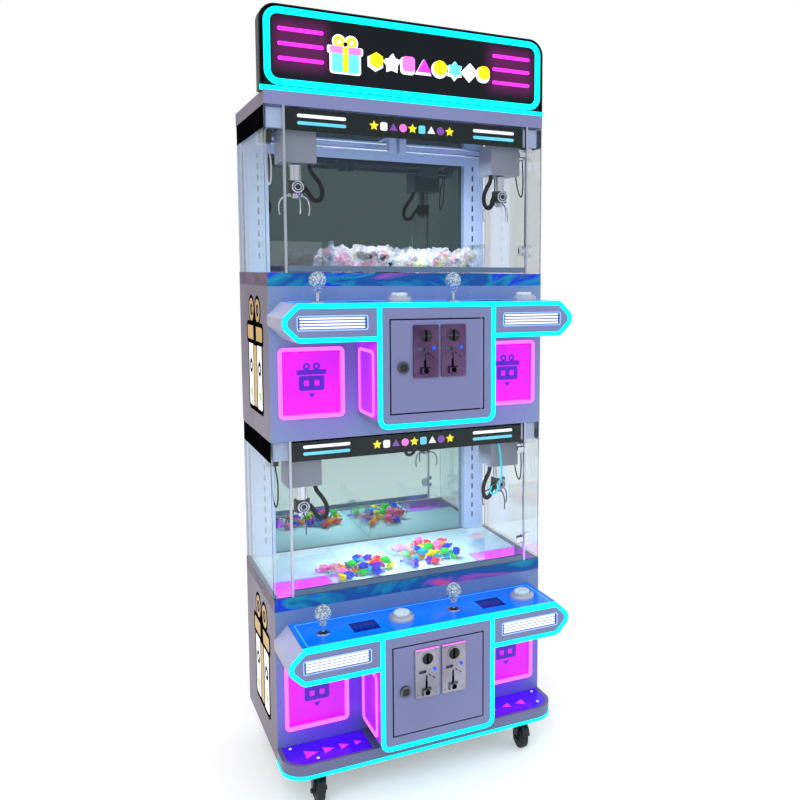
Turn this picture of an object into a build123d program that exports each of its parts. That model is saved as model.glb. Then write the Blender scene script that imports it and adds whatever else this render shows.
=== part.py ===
from build123d import *

import os
from math import cos, radians, sin, sqrt

os.makedirs("parts", exist_ok=True)

# Two-tier, four-player claw machine. Millimetres, +Z up, front towards -Y, origin on the floor
# under the middle of the outer box.

# Driving dimensions: body
body_w = 730.0
body_d = 380.0
back_y = 276.0
face_y = back_y - body_d
tier_pitch = 796.0
sheet = 3.0
glass = 5.0
rim_d = 12.0
post_y = face_y + 350
rail_end_y = face_y + 345
glass_hinge_x = 319.5
half_w = body_w / 2
inner_w = half_w - sheet

# Driving dimensions: heights of the lower tier; the upper tier repeats them one pitch higher
plinth_z = 88.0
plinth_h = 36.0
rim_z = 473.0
deck_z = 503.0
deck_rim = deck_z + 2
ceiling_z = 894.0
console_z = 349.0
console_h = 88.0
tower_z = 140.0
prize_z = 163.0
prize_pitch = 785.0

# Driving dimensions: consoles, roof and sign
console_d = 163.0
console_w = 736.0
console_chamfer = 33.0
tower_w = 302.0
trim = 3.0
roof_h = 32.0
sign_w = 742.0
sign_h = 199.0
sign_d = 40.0
sign_corner = 40.0
sign_light_w = 15.0
tower_corner = 22.0
console_light_w = 11.0
console_light_corner = 24.0
sign_light_heights = (76, 109.5, 143)
sign_strip_h = 12.0
plinth_d = 108.0
console_y = face_y - console_d
roof_z = ceiling_z + tier_pitch
sign_z = roof_z + roof_h
sign_y = face_y + 8

# Driving dimensions: coin doors and mechanisms
door_w = 236.0
door_h = 220.0
door_gap = 3.5
door_mid_z = 286.0
hinge_x = 115.0
mech_w = 64.5
mech_h = 126.0
mech_mid_z = 321.0
mech_places = (-32.0, 38.5)
lock_place = (-88.7, 284.0)

# Driving dimensions: controls on the console tops
control_y = face_y - 88
stick_places = (-269.0, 70.0)
button_places = (-71.0, 268.0)
display_places = (-167.0, 174.0)
pivot_drop = 18.0

# Driving dimensions: prize outlets and chutes
outlet_x = 265.0
outlet_w = 161.0
outlet_h = 174.0
outlet_frame = 9.0
chute_x = 205.0
chute_wall_x = 188.0
chute_d = 125.0

# Driving dimensions: cranes, measured down from the ceiling of a bay
crane_x = 276.0
crane_y = face_y + 80
rail_drop = 36.0
rod_drops = (53.0, 69.0)
rod_back = 51.0
box_top = 47.0
box_size = (84.0, 80.0, 78.0)
pivot_r = 15.0
prong_drop = 200.0
prong_bend = 26.0
prong_turns = (-90, 30, 150)
fit = 0.05

# Driving dimensions: casters
wheel_r = 30.0
wheel_w = 20.0
trail = 20.0
caster_x = 280.0
front_caster_y = face_y - 42
rear_caster_y = back_y - 60
swivel_gap = 3.5

tiers = {"lower": 0.0, "upper": tier_pitch}
sides = {"left": -1, "right": 1}


def block(x, y, z):
    """A box between two corners, each axis given as (low, high)."""
    with BuildPart() as made:
        with Locations(((x[0] + x[1]) / 2, (y[0] + y[1]) / 2, (z[0] + z[1]) / 2)):
            Box(x[1] - x[0], y[1] - y[0], z[1] - z[0])
    return made.part


def span(side, near, far):
    """The X range between two distances from the middle, on one side."""
    return tuple(sorted((side * near, side * far)))


def disc(radius, place, z, bore=0.0):
    """An upright cylinder between two heights, with an optional bore."""
    with BuildPart() as made:
        with BuildSketch(Plane.XY.offset(z[0])):
            with Locations(place):
                Circle(radius)
                if bore:
                    Circle(bore, mode=Mode.SUBTRACT)
        extrude(amount=z[1] - z[0])
    return made.part


def rod(radius, start, end, bore=0.0):
    """A round bar between two points, with an optional bore."""
    axis = Plane(origin=start, z_dir=Vector(*end) - Vector(*start))
    with BuildPart() as made:
        with BuildSketch(axis):
            Circle(radius)
            if bore:
                Circle(bore, mode=Mode.SUBTRACT)
        extrude(amount=(Vector(*end) - Vector(*start)).length)
    return made.part


def upright(front, depth, low, high, holes=None, corner=0.0, inner=None):
    """A plate facing -Y between two (x, z) corners, as a ring if inner is given.

    Holes are a pair: their centres, and one (width, height, corner) for them all.
    """
    width = high[0] - low[0]
    height = high[1] - low[1]
    with BuildPart() as made:
        with BuildSketch(Plane.XZ.offset(-front - depth)):
            with Locations((low[0] + width / 2, low[1] + height / 2)):
                if corner:
                    RectangleRounded(width, height, corner)
                else:
                    Rectangle(width, height)
                if inner:
                    RectangleRounded(
                        width - 2 * inner, height - 2 * inner, max(corner - inner, 1), mode=Mode.SUBTRACT
                    )
            if holes:
                with Locations(*holes[0]):
                    RectangleRounded(*holes[1], mode=Mode.SUBTRACT)
        extrude(amount=depth)
    return made.part


def arched(front, depth, low, high, corner, wall=0.0):
    """A plate or a closed band facing -Y whose two upper corners are round."""
    with BuildPart() as made:
        with BuildSketch(Plane.XZ.offset(-front - depth)) as outline:
            with Locations(((low[0] + high[0]) / 2, (low[1] + high[1]) / 2)):
                Rectangle(high[0] - low[0], high[1] - low[1])
            fillet(outline.vertices().group_by(Axis.Y)[-1], corner)
            if wall:
                offset(amount=-wall, mode=Mode.SUBTRACT)
        extrude(amount=depth)
    return made.part


def inset(points, amount):
    """The same closed outline moved inwards, with mitred corners; the points run clockwise."""
    moved = []
    for i, here in enumerate(points):
        into = (Vector(*here) - Vector(*points[i - 1])).normalized()
        out = (Vector(*points[(i + 1) % len(points)]) - Vector(*here)).normalized()
        side_in = Vector(into.Y, -into.X)
        side_out = Vector(out.Y, -out.X)
        reach = amount / (1 + side_in.dot(side_out))
        step = (side_in + side_out) * reach
        moved.append((here[0] + step.X, here[1] + step.Y))
    return moved


def save(name, *solids):
    """Write one node, whose solids are separate pieces under one label."""
    node = solids[0] if len(solids) == 1 else Compound(label=name, children=list(solids))
    node.label = name
    export_step(node, f"parts/{name}.step")


# Base plinth: a sheet pan with round front corners, its floor plate, caster plates and rear forks
def plinth_outline(grow, corner):
    """The plinth seen from above; at its own size it runs back between the side panels."""
    with BuildSketch() as outline:
        with Locations((0, face_y - (plinth_d + grow) / 2)):
            Rectangle(body_w + 4 + 2 * grow, plinth_d + grow)
        fillet(outline.vertices().group_by(Axis.Y)[0], corner)
        if not grow:
            with Locations((0, (face_y + back_y) / 2)):
                Rectangle(2 * inner_w - 1, body_d)
    return outline.sketch


def plinth():
    with BuildPart() as pan:
        add(plinth_outline(0, 60).moved(Location((0, 0, plinth_z + 9))))
        extrude(amount=plinth_h - 9)
        offset(amount=-2, openings=pan.faces().sort_by(Axis.Z)[0])
    floor_y = (face_y - plinth_d + 62, back_y - 4)
    floor = block((-inner_w + 6, inner_w - 6), floor_y, (plinth_z, plinth_z + 4))
    return [pan.part, floor]


def kingpin(x, y):
    """The plate under the plinth, its four bolts and the pin that a fork turns on."""
    with BuildPart() as plate:
        with Locations((x, y, plinth_z - 1.5)):
            Box(62, 54, 3)
        with Locations((x, y, plinth_z - 3)):
            Cylinder(5, 19, align=(Align.CENTER, Align.CENTER, Align.MAX))
            with GridLocations(48, 40, 2, 2):
                Cylinder(4.5, 3, align=(Align.CENTER, Align.CENTER, Align.MAX))
        with Locations((x, y, plinth_z - 22)):
            Cylinder(8, 3, align=(Align.CENTER, Align.CENTER, Align.MAX))
    return plate.part


def fork(x, y, wheel_y, swivels):
    """Two cheeks, the head above them and the axle; a swivelling head runs on the kingpin."""
    top = plinth_z - 3 - (swivel_gap if swivels else 0)
    with BuildPart() as head:
        with BuildSketch(Plane.XY.offset(top - 3)):
            with Locations((x, y)):
                Circle(22)
            with Locations((x, wheel_y)):
                Rectangle(32, 26)
        extrude(amount=3)
        with BuildSketch(Plane.XY.offset(top - 10)):
            with Locations((x, y)):
                Circle(19)
        extrude(amount=7)
        if swivels:
            with BuildSketch(Plane.XY.offset(top - 10)):
                with Locations((x, y)):
                    Circle(5 + fit)
            extrude(amount=10, mode=Mode.SUBTRACT)
    cheeks = []
    for side in (-1, 1):
        with BuildPart() as cheek:
            with BuildSketch(Plane.YZ.offset(x + side * 14.5 - 1.5)):
                with BuildLine():
                    Polyline(
                        (wheel_y - 13, top - 3), (wheel_y + 13, top - 3), (wheel_y + 9, wheel_r - 9),
                        (wheel_y - 9, wheel_r - 9), close=True,
                    )
                make_face()
            extrude(amount=3)
        cheeks.append(cheek.part)
    axle = rod(4, (x - 13, wheel_y, wheel_r), (x + 13, wheel_y, wheel_r))
    nuts = [rod(6, (x + e * 16, wheel_y, wheel_r), (x + e * 20, wheel_y, wheel_r)) for e in (-1, 1)]
    return [head.part, *cheeks, axle, *nuts]


def brake_pedal(x, wheel_y):
    """A bent pedal over the wheel, pointing away from the swivel."""
    with BuildPart() as pedal:
        with BuildSketch(Plane.YZ.offset(x - 9)):
            with BuildLine():
                Polyline(
                    (wheel_y - 14, 74), (wheel_y - 14, 68), (wheel_y - 30, 62), (wheel_y - 36, 46),
                    (wheel_y - 39, 47), (wheel_y - 33, 65), (wheel_y - 18, 74), close=True,
                )
            make_face()
        extrude(amount=18)
    return pedal.part


def wheel(x, wheel_y):
    """Tyre and hub as one wheel, bored for the axle."""
    with BuildPart() as made:
        with BuildSketch(Plane.YZ.offset(x - wheel_w / 2)):
            with Locations((wheel_y, wheel_r)):
                Circle(wheel_r)
        extrude(amount=wheel_w)
        fillet(made.edges().filter_by(GeomType.CIRCLE), 3)
        with BuildSketch(Plane.YZ.offset(x - wheel_w / 2)):
            with Locations((wheel_y, wheel_r)):
                Circle(4 + fit)
        extrude(amount=wheel_w, mode=Mode.SUBTRACT)
    return made.part


base = plinth()
for side, sign in sides.items():
    x = sign * caster_x
    base.append(kingpin(x, front_caster_y))
    base.append(block((x - 31, x + 31), (rear_caster_y - 27, rear_caster_y + 27), (plinth_z - 3, plinth_z)))
    base += fork(x, rear_caster_y, rear_caster_y, False)
    front_wheel_y = front_caster_y - trail
    pedal = brake_pedal(x, front_wheel_y)
    save(f"front_{side}_caster_fork", *fork(x, front_caster_y, front_wheel_y, True), pedal)
    save(f"front_{side}_caster_wheel", wheel(x, front_wheel_y))
    save(f"rear_{side}_caster_wheel", wheel(x, rear_caster_y))
save("base_plinth", *base)


# Cabinets: side, back and floor panels, a fascia with two prize outlets, and the rim under the glass
def cabinet(low, side_low, high, outlet_z):
    hole = (outlet_w - 2 * outlet_frame, outlet_h - 2 * outlet_frame, 6)
    middle = outlet_z + outlet_h / 2
    fascia = upright(
        face_y, sheet, (-inner_w, low), (inner_w, high), (((-outlet_x, middle), (outlet_x, middle)), hole)
    )
    vents = (((-220, low + 60), (0, low + 60), (220, low + 60)), (120, 8, 3.5))
    back = upright(back_y - sheet, sheet, (-inner_w, low), (inner_w, high), vents)
    floor = block((-inner_w, inner_w), (face_y + sheet, back_y - sheet), (low, low + sheet))
    panels = [fascia, back, floor]
    for sign in sides.values():
        panels.append(block(span(sign, inner_w, half_w), (face_y, back_y), (side_low, high)))
        panels += flap_pin(sign * outlet_x, outlet_z)
    return panels


def flap_pin(x, low):
    """The pin that a prize flap swings on, held by two lugs behind the fascia."""
    pin_z = low + outlet_h - outlet_frame - 5
    pin_y = face_y + 5.5
    pieces = [rod(2, (x - 72, pin_y, pin_z), (x + 72, pin_y, pin_z))]
    for side in (-1, 1):
        lug = tuple(x + edge for edge in span(side, 72, 75))
        pieces.append(block(lug, (face_y + sheet, face_y + 9), (pin_z - 4, pin_z + 4)))
    return pieces


def rim(low, high):
    """Four beams that close the top of a cabinet and carry the glass."""
    beams = [
        block((-half_w, half_w), (face_y, face_y + rim_d), (low, high)),
        block((-half_w, half_w), (back_y - rim_d, back_y), (low, high)),
    ]
    for sign in sides.values():
        x = span(sign, half_w - rim_d, half_w)
        beams.append(block(x, (face_y + rim_d, back_y - rim_d), (low, high)))
    return beams


def rear_door(low, high):
    """The screwed-on service panel with its four screws."""
    panel = upright(back_y, 2, (-240, low), (240, high), corner=8)
    screws = []
    for x in (-225, 225):
        for z in (low + 15, high - 15):
            screws.append(rod(4, (x, back_y + 2, z), (x, back_y + 4, z)))
    return [panel, *screws]


save(
    "lower_cabinet",
    *cabinet(plinth_z + plinth_h, plinth_z, rim_z, prize_z),
    *rim(rim_z, deck_rim),
    *rear_door(220, 440),
)
save(
    "middle_cabinet",
    *cabinet(ceiling_z, ceiling_z, rim_z + tier_pitch, prize_z + prize_pitch),
    *rim(rim_z + tier_pitch, deck_rim + tier_pitch),
    *rear_door(1010, 1230),
)


# Roof pan and lit sign: rim beams, top and ceiling plates, the sign box and its glossy face
def roof_and_sign():
    pieces = rim(roof_z, sign_z - 2)
    pieces.append(block((-half_w, half_w), (face_y, back_y), (sign_z - 2, sign_z)))
    pieces.append(block((-half_w + 12, half_w - 12), (face_y + 12, back_y - 12), (roof_z + 1, roof_z + 3)))
    half = sign_w / 2
    low, high = (-half, sign_z), (half, sign_z + sign_h)
    pieces.append(arched(sign_y + 3, sign_d - 6, low, high, sign_corner, 2.5))
    pieces.append(arched(sign_y + sign_d - 3, 3, low, high, sign_corner))
    face_low, face_high = (low[0] + 10, low[1] + 14), (high[0] - 10, high[1] - 8)
    pieces.append(arched(sign_y + 1, 2, face_low, face_high, sign_corner - 6))
    for x in (-240, 240):
        with BuildPart() as gusset:
            with BuildSketch(Plane.YZ.offset(x - 1.5)):
                with BuildLine():
                    Polyline(
                        (sign_y + sign_d, sign_z), (sign_y + sign_d + 90, sign_z),
                        (sign_y + sign_d, sign_z + 130), close=True,
                    )
                make_face()
            extrude(amount=3)
        pieces.append(gusset.part)
    return pieces


save("roof_and_sign", *roof_and_sign())


# Consoles: a folded sheet wrap around a beam with sloped ends and a tower, closed by a front plate
def console_outline(dz):
    """The wrap's outline seen from the front, clockwise from the upper left."""
    half = console_w / 2
    top = console_z + console_h + dz
    low = console_z + dz
    cut = console_chamfer
    tower = tower_w / 2
    middle_x, middle_z = tower - tower_corner, tower_z + tower_corner + dz
    foot = []
    for side, turns in ((1, (0, 30, 60, 90)), (-1, (90, 60, 30, 0))):
        for turn in turns:
            reach = Vector(tower_corner, 0).rotate(Axis.Z, -turn)
            foot.append((side * (middle_x + reach.X), middle_z + reach.Y))
    return [
        (-half + cut, top), (half - cut, top), (half, top - cut), (half, low + cut), (half - cut, low),
        (tower, low), *foot, (-tower, low), (-half + cut, low), (-half, low + cut), (-half, top - cut),
    ]


def console_wrap(dz):
    """One flat panel for each edge of the outline except the top, which is the control panel."""
    outer = console_outline(dz)
    inner = inset(outer, sheet)
    panels = []
    for i in range(1, len(outer)):
        j = (i + 1) % len(outer)
        with BuildPart() as panel:
            with BuildSketch(Plane.XZ.offset(-face_y)):
                with BuildLine():
                    Polyline(outer[i], outer[j], inner[j], inner[i], close=True)
                make_face()
            extrude(amount=console_d - sheet)
        panels.append(panel.part)
    return panels


def front_plate(dz):
    """Two wings with lamp windows, and four strips around the coin door opening."""
    lamp_z = console_z + console_h / 2 + dz
    with BuildPart() as plate:
        with BuildSketch(Plane.XZ.offset(-console_y - sheet)):
            with BuildLine():
                Polyline(*console_outline(dz), close=True)
            make_face()
            with Locations((0, door_mid_z + dz)):
                Rectangle(door_w + 2 * door_gap, door_h + 2 * door_gap, mode=Mode.SUBTRACT)
            with Locations((-254, lamp_z), (254, lamp_z)):
                RectangleRounded(158, 30, 4, mode=Mode.SUBTRACT)
        extrude(amount=sheet)
    edge_x = door_w / 2 + door_gap
    reach = console_w / 2
    low = tower_z + dz
    high = console_z + console_h + dz
    door = (door_mid_z + dz - door_h / 2 - door_gap, door_mid_z + dz + door_h / 2 + door_gap)
    cuts = [((-edge_x, edge_x), (low, door[0])), ((-edge_x, edge_x), (door[1], high))]
    for side in sides.values():
        cuts.append((span(side, edge_x, tower_w / 2), (low, high)))
        cuts.append((span(side, tower_w / 2, reach), (low, high)))
    return [plate.part & block(x, (console_y, console_y + sheet), z) for x, z in cuts]


def control_panel(dz):
    """The top plate with its shaft holes, button wells and display windows."""
    top = console_z + console_h + dz
    half = console_w / 2 - console_chamfer
    with BuildPart() as panel:
        with BuildSketch(Plane.XY.offset(top - sheet)):
            with Locations((0, face_y - (console_d - sheet) / 2)):
                Rectangle(2 * half - 3, console_d - sheet)
            with Locations(*[(x, control_y) for x in stick_places]):
                Circle(11, mode=Mode.SUBTRACT)
            with Locations(*[(x, control_y) for x in button_places]):
                Circle(22, mode=Mode.SUBTRACT)
            with Locations(*[(x, control_y) for x in display_places]):
                Rectangle(66, 58, mode=Mode.SUBTRACT)
        extrude(amount=sheet)
    return panel.part


def stick_mount(x, top):
    """A chrome collar on the panel and the two cheeks that carry the gimbal."""
    with BuildPart() as collar:
        with BuildSketch(Plane.XY.offset(top)):
            with Locations((x, control_y)):
                Circle(17)
                Circle(11, mode=Mode.SUBTRACT)
        extrude(amount=2.5)
        top_edges = collar.edges().filter_by(GeomType.CIRCLE).group_by(Axis.Z)[-1]
        chamfer(top_edges.sort_by(SortBy.RADIUS)[-1], 1.5)
    pivot_z = top - pivot_drop
    cheeks = []
    for side in (-1, 1):
        with BuildPart() as cheek:
            with Locations((x + side * 21, control_y, (pivot_z - 10 + top - sheet) / 2)):
                Box(4, 26, top - sheet - pivot_z + 10)
            with BuildSketch(Plane.YZ.offset(x + side * 21 - 2)):
                with Locations((control_y, pivot_z)):
                    Circle(2 + fit)
            extrude(amount=4, mode=Mode.SUBTRACT)
        cheeks.append(cheek.part)
    return [collar.part, *cheeks]


def button_ring(x, top):
    """The domed ring around a button, and the well that guides it."""
    with BuildPart() as ring:
        with BuildSketch(Plane.XZ.offset(-control_y)) as profile:
            with BuildLine():
                Line((x + 20.5, top), (x + 32.5, top))
                Line((x + 32.5, top), (x + 32.5, top + 4))
                ThreePointArc((x + 32.5, top + 4), (x + 29.5, top + 11.5), (x + 22, top + 14.5))
                Line((x + 22, top + 14.5), (x + 20.5, top + 14.5))
                Line((x + 20.5, top + 14.5), (x + 20.5, top))
            make_face()
        revolve(axis=Axis((x, control_y, 0), (0, 0, 1)))
    well = disc(21.9, (x, control_y), (top - 26, top), 20.5)
    switch = block((x - 10, x + 10), (control_y - 8, control_y + 8), (top - 40, top - 26))
    return [ring.part, well, switch]


def console(dz):
    top = console_z + console_h + dz
    pieces = [*front_plate(dz), *console_wrap(dz), control_panel(dz)]
    for x in stick_places:
        pieces += stick_mount(x, top)
    for x in button_places:
        pieces += button_ring(x, top)
    for x in display_places:
        pieces.append(block((x - 33, x + 33), (control_y - 29, control_y + 29), (top - sheet, top - 1)))
    # Pins that the coin door turns on, above and below its opening
    for end in (1, -1):
        edge = door_mid_z + dz + end * (door_h / 2)
        z = sorted((edge + end * door_gap, edge + end * (door_gap + 10)))
        pieces.append(block((hinge_x - 5, hinge_x + 9), (console_y + sheet, console_y + 9), z))
        z = sorted((edge - end * 14, edge + end * door_gap))
        place = (hinge_x, console_y + 5.5)
        pieces.append(rod(1.5, (*place, z[0]), (*place, z[1])))
    return pieces


save("control_consoles", *console(0), *console(tier_pitch))


# Coin doors: leaf with its hinge barrel, two coin mechanisms side by side, and a cam lock
def coin_mech(x, dz):
    """Faceplate with round recess, slots and return cup, and the validator body behind it."""
    front = console_y - 4
    z = mech_mid_z + dz
    with BuildPart() as plate:
        with BuildSketch(Plane.XZ.offset(-console_y)):
            with Locations((x, z)):
                RectangleRounded(mech_w, mech_h, 4)
        extrude(amount=4)
        fillet(plate.faces().sort_by(Axis.Y)[0].edges(), 1.2)
        with BuildSketch(Plane.XZ.offset(-front)):
            with Locations((x, z + 37)):
                Circle(17)
                Circle(14.5, mode=Mode.SUBTRACT)
        extrude(amount=1.5)
        with BuildSketch(Plane.XZ.offset(-front)):
            with Locations((x, z + 37)):
                Rectangle(4, 28)
            with Locations((x - 13, z + 5)):
                SlotOverall(20, 8)
            with Locations((x - 3, z - 22)):
                Rectangle(5, 34)
        extrude(amount=-8, mode=Mode.SUBTRACT)
        with BuildSketch(Plane.XZ.offset(-front)):
            with Locations((x + 12, z - 14)):
                Rectangle(17, 5, rotation=-50)
            with Locations((x - 24, z + 55), (x + 24, z + 55), (x - 24, z - 55), (x + 24, z - 55)):
                Circle(3)
        extrude(amount=1.2)
        with BuildSketch(Plane.XZ.offset(-front)):
            with Locations((x - 3, z - 46)):
                Rectangle(26, 18)
        extrude(amount=9, taper=18)
    body = block((x - 24, x + 24), (console_y + sheet, console_y + 58), (z - 54, z + 54))
    return [plate.part, body]


def coin_door(dz):
    z = door_mid_z + dz
    with BuildPart() as leaf:
        with BuildSketch(Plane.XZ.offset(-console_y - sheet)):
            with Locations((0, z)):
                Rectangle(door_w, door_h)
            with Locations(*[(x, mech_mid_z + dz) for x in mech_places]):
                Rectangle(50, 110, mode=Mode.SUBTRACT)
        extrude(amount=sheet)
    barrel = disc(2.5, (hinge_x, console_y + 5.5), (z - door_h / 2, z + door_h / 2), 1.5 + fit)
    lock_x, lock_z = lock_place
    ring = rod(14, (lock_x, console_y, lock_z + dz), (lock_x, console_y - 5, lock_z + dz), 9)
    plug = rod(9, (lock_x, console_y, lock_z + dz), (lock_x, console_y - 3.5, lock_z + dz))
    stem = rod(8, (lock_x, console_y + sheet, lock_z + dz), (lock_x, console_y + 22, lock_z + dz))
    cam_z = (lock_z - 7 + dz, lock_z + 7 + dz)
    cam = block((lock_x - 30, lock_x + 8), (console_y + 22, console_y + 24), cam_z)
    pieces = [leaf.part, barrel, ring, plug, stem, cam]
    for x in mech_places:
        pieces += coin_mech(x, dz)
    return pieces


# Controls that move: a gimbal and a stick for each joystick, and a plunger for each button
def gimbal(x, pivot_z):
    """A ring with trunnions along X, bored along Y for the stick's cross pin."""
    with BuildPart() as ring:
        with BuildSketch(Plane.XY.offset(pivot_z - 5)):
            with Locations((x, control_y)):
                Circle(15)
                Circle(11, mode=Mode.SUBTRACT)
        extrude(amount=10)
        for side in (-1, 1):
            with BuildSketch(Plane.YZ.offset(x + side * 18.5 - 4.5)):
                with Locations((control_y, pivot_z)):
                    Circle(2)
            extrude(amount=9)
        with BuildSketch(Plane.XZ.offset(-control_y - 16)):
            with Locations((x, pivot_z)):
                Circle(2 + fit)
        extrude(amount=32, mode=Mode.SUBTRACT)
    return ring.part


def stick(x, pivot_z, top):
    """Shaft, cross pin and the clear bulb-shaped knob."""
    knob_low = top + 22
    with BuildPart() as shaft:
        with BuildSketch(Plane.XY.offset(pivot_z - 34)):
            with Locations((x, control_y)):
                Circle(4)
        extrude(amount=knob_low - pivot_z + 34)
        with BuildSketch(Plane.XZ.offset(-control_y - 14.5)):
            with Locations((x, pivot_z)):
                Circle(2)
        extrude(amount=29)
        with BuildSketch(Plane.XY.offset(pivot_z - 34)):
            with Locations((x, control_y)):
                Circle(7)
        extrude(amount=8)
    with BuildPart() as knob:
        with BuildSketch(Plane.XZ.offset(-control_y)):
            with BuildLine():
                Line((x, knob_low), (x + 8.5, knob_low))
                Spline(
                    (x + 8.5, knob_low), (x + 13, knob_low + 12), (x + 20, knob_low + 30),
                    tangents=((0.1, 1), (0, 1)),
                )
                RadiusArc((x + 20, knob_low + 30), (x, knob_low + 50), -20)
                Line((x, knob_low + 50), (x, knob_low))
            make_face()
        revolve(axis=Axis((x, control_y, 0), (0, 0, 1)))
    return [shaft.part, knob.part]


def plunger(x, top):
    """A round cap with a soft edge, guided in its well."""
    with BuildPart() as cap:
        with BuildSketch(Plane.XY.offset(top - 20)):
            with Locations((x, control_y)):
                Circle(20.4)
        extrude(amount=42)
        fillet(cap.faces().sort_by(Axis.Z)[-1].edges(), 5)
    return cap.part


for tier, dz in tiers.items():
    save(f"{tier}_coin_door", *coin_door(dz))
    top = console_z + console_h + dz
    for side, x in zip(sides, stick_places):
        save(f"{tier}_{side}_joystick_gimbal", gimbal(x, top - pivot_drop))
        save(f"{tier}_{side}_joystick", *stick(x, top - pivot_drop, top))
    for side, x in zip(sides, button_places):
        save(f"{tier}_{side}_button", plunger(x, top))


# Prize flaps: an acrylic leaf hung on a pin behind each outlet
def prize_flap(x, low):
    pin_z = low + outlet_h - outlet_frame - 5
    foot = low + outlet_frame + 2
    half = outlet_w / 2 - outlet_frame - 2
    with BuildPart() as flap:
        with BuildSketch(Plane.YZ.offset(x - half)):
            with Locations((face_y + 2, (foot + pin_z) / 2)):
                Rectangle(3, pin_z - foot)
            with Locations((face_y + 5.5, pin_z)):
                Circle(3.6)
        extrude(amount=2 * half)
        with BuildSketch(Plane.YZ.offset(x - half)):
            with Locations((face_y + 5.5, pin_z)):
                Circle(2 + fit)
        extrude(amount=2 * half, mode=Mode.SUBTRACT)
    return flap.part


# Play decks, and the chute that leads from each deck corner down to a prize outlet
def play_deck(dz, outlet_z):
    top = deck_z + dz
    half = half_w - 12.5
    with BuildPart() as deck:
        with BuildSketch(Plane.XY.offset(top - 4)):
            with Locations((0, (face_y + back_y) / 2)):
                Rectangle(2 * half, body_d - 25)
            for sign in sides.values():
                with Locations((sign * (chute_x + 80), face_y + chute_d - 60)):
                    Rectangle(160, 120, mode=Mode.SUBTRACT)
        extrude(amount=4)
    pieces = [deck.part]
    floor_z = outlet_z - 14
    for sign in sides.values():
        rim_low = top - deck_z + rim_z
        wall = span(sign, chute_wall_x, chute_wall_x + 2)
        pieces.append(block(wall, (face_y + sheet, face_y + 138), (floor_z, rim_low)))
        pieces.append(block(wall, (face_y + rim_d, face_y + 138), (rim_low, top - 4)))
        rear = span(sign, chute_wall_x + 2, inner_w)
        pieces.append(block(rear, (face_y + 136, face_y + 138), (floor_z, rim_low - 2)))
        with BuildPart() as slope:
            with BuildSketch(Plane.YZ.offset(rear[0])):
                with BuildLine():
                    Polyline(
                        (face_y + sheet, floor_z), (face_y + 136, floor_z + 44),
                        (face_y + 136, floor_z + 42), (face_y + sheet, floor_z - 2), close=True,
                    )
                make_face()
            extrude(amount=rear[1] - rear[0])
        pieces.append(slope.part)
    return pieces


save(
    "play_decks",
    *play_deck(0, prize_z),
    *play_deck(tier_pitch, prize_z + prize_pitch),
)


# Bay frames: slotted rear posts, cross beams, header boards, front profiles, hinge pins and crane rails
def slotted_post(sign, low, high):
    """A folded post whose front flange has a column of slots."""
    near, far = 288.5, 352.5
    count = int((high - low - 40) / 30)
    with BuildPart() as post:
        with BuildSketch(Plane.XZ.offset(-post_y - 2)):
            with Locations((sign * (near + far) / 2, (low + high) / 2)):
                Rectangle(far - near, high - low)
            with Locations((sign * 316, (low + high) / 2)):
                with GridLocations(1, 30, 1, count):
                    SlotOverall(18, 5, rotation=90, mode=Mode.SUBTRACT)
        extrude(amount=2)
    return [post.part, block(span(sign, near, near + 2), (post_y + 2, post_y + 22), (low, high))]


def knuckle(z, reach, bore):
    """One leaf of a glass door hinge: a barrel on the hinge line and a plate to one side of it."""
    with BuildPart() as leaf:
        with BuildSketch(Plane.XY.offset(z[0])):
            with Locations((glass_hinge_x, face_y - 4.5)):
                Circle(4)
            with Locations((glass_hinge_x + reach / 2, face_y - 1)):
                Rectangle(abs(reach), 2)
            if bore:
                with Locations((glass_hinge_x, face_y - 4.5)):
                    Circle(bore, mode=Mode.SUBTRACT)
        extrude(amount=z[1] - z[0])
    return leaf.part


def bay_frame(dz):
    low = deck_z + dz
    high = ceiling_z + dz
    rail_z = high - rail_drop
    pieces = [
        block((-358, 358), (rail_end_y, post_y), (high - 70, high - 20)),
        block((-358, 358), (face_y + 18, face_y + 30), (high - 50, high - 4)),
        block((-313, 313), (face_y + 12, face_y + 15), (high - 54, high - 2)),
        block((-inner_w, inner_w), (back_y - 3, back_y), (low + 2, high)),
    ]
    for sign in sides.values():
        pieces += slotted_post(sign, low + 2, high)
        pieces.append(block(span(sign, 317.5, 322.5), (face_y, face_y + 8), (low + 2, high)))
        for x in (348, 14):
            pieces.append(rod(5, (sign * x, face_y + 30, rail_z), (sign * x, rail_end_y, rail_z)))
    for z in (low + 46, high - 91):
        for step in (0, 24):
            pieces.append(knuckle((z + step, z + step + 11), 14, 0))
        pieces.append(disc(2.5, (glass_hinge_x, face_y - 4.5), (z + 11, z + 24)))
    return pieces


def glass_panes(dz):
    """Fixed front and side panes, rear mirror, clear chute guards and the centre divider."""
    low = deck_z + 2 + dz
    high = ceiling_z + dz
    deck = deck_z + dz
    pieces = [
        block((-352, 352), (back_y - 8, back_y - 4), (low, high)),
        block((-1.5, 1.5), (face_y + 14, post_y - 10), (deck, deck + 95)),
    ]
    for sign in sides.values():
        pieces.append(block(span(sign, 322.5, half_w), (face_y, face_y + glass), (low, high)))
        pieces.append(block(span(sign, half_w - glass, half_w), (face_y + glass, back_y - 12), (low, high)))
        guard = (deck, deck + 80)
        pieces.append(block(span(sign, chute_x - 3, chute_x), (face_y + 14, face_y + chute_d + 3), guard))
        pieces.append(block(span(sign, chute_x, 352), (face_y + chute_d, face_y + chute_d + 3), guard))
    return pieces


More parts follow.
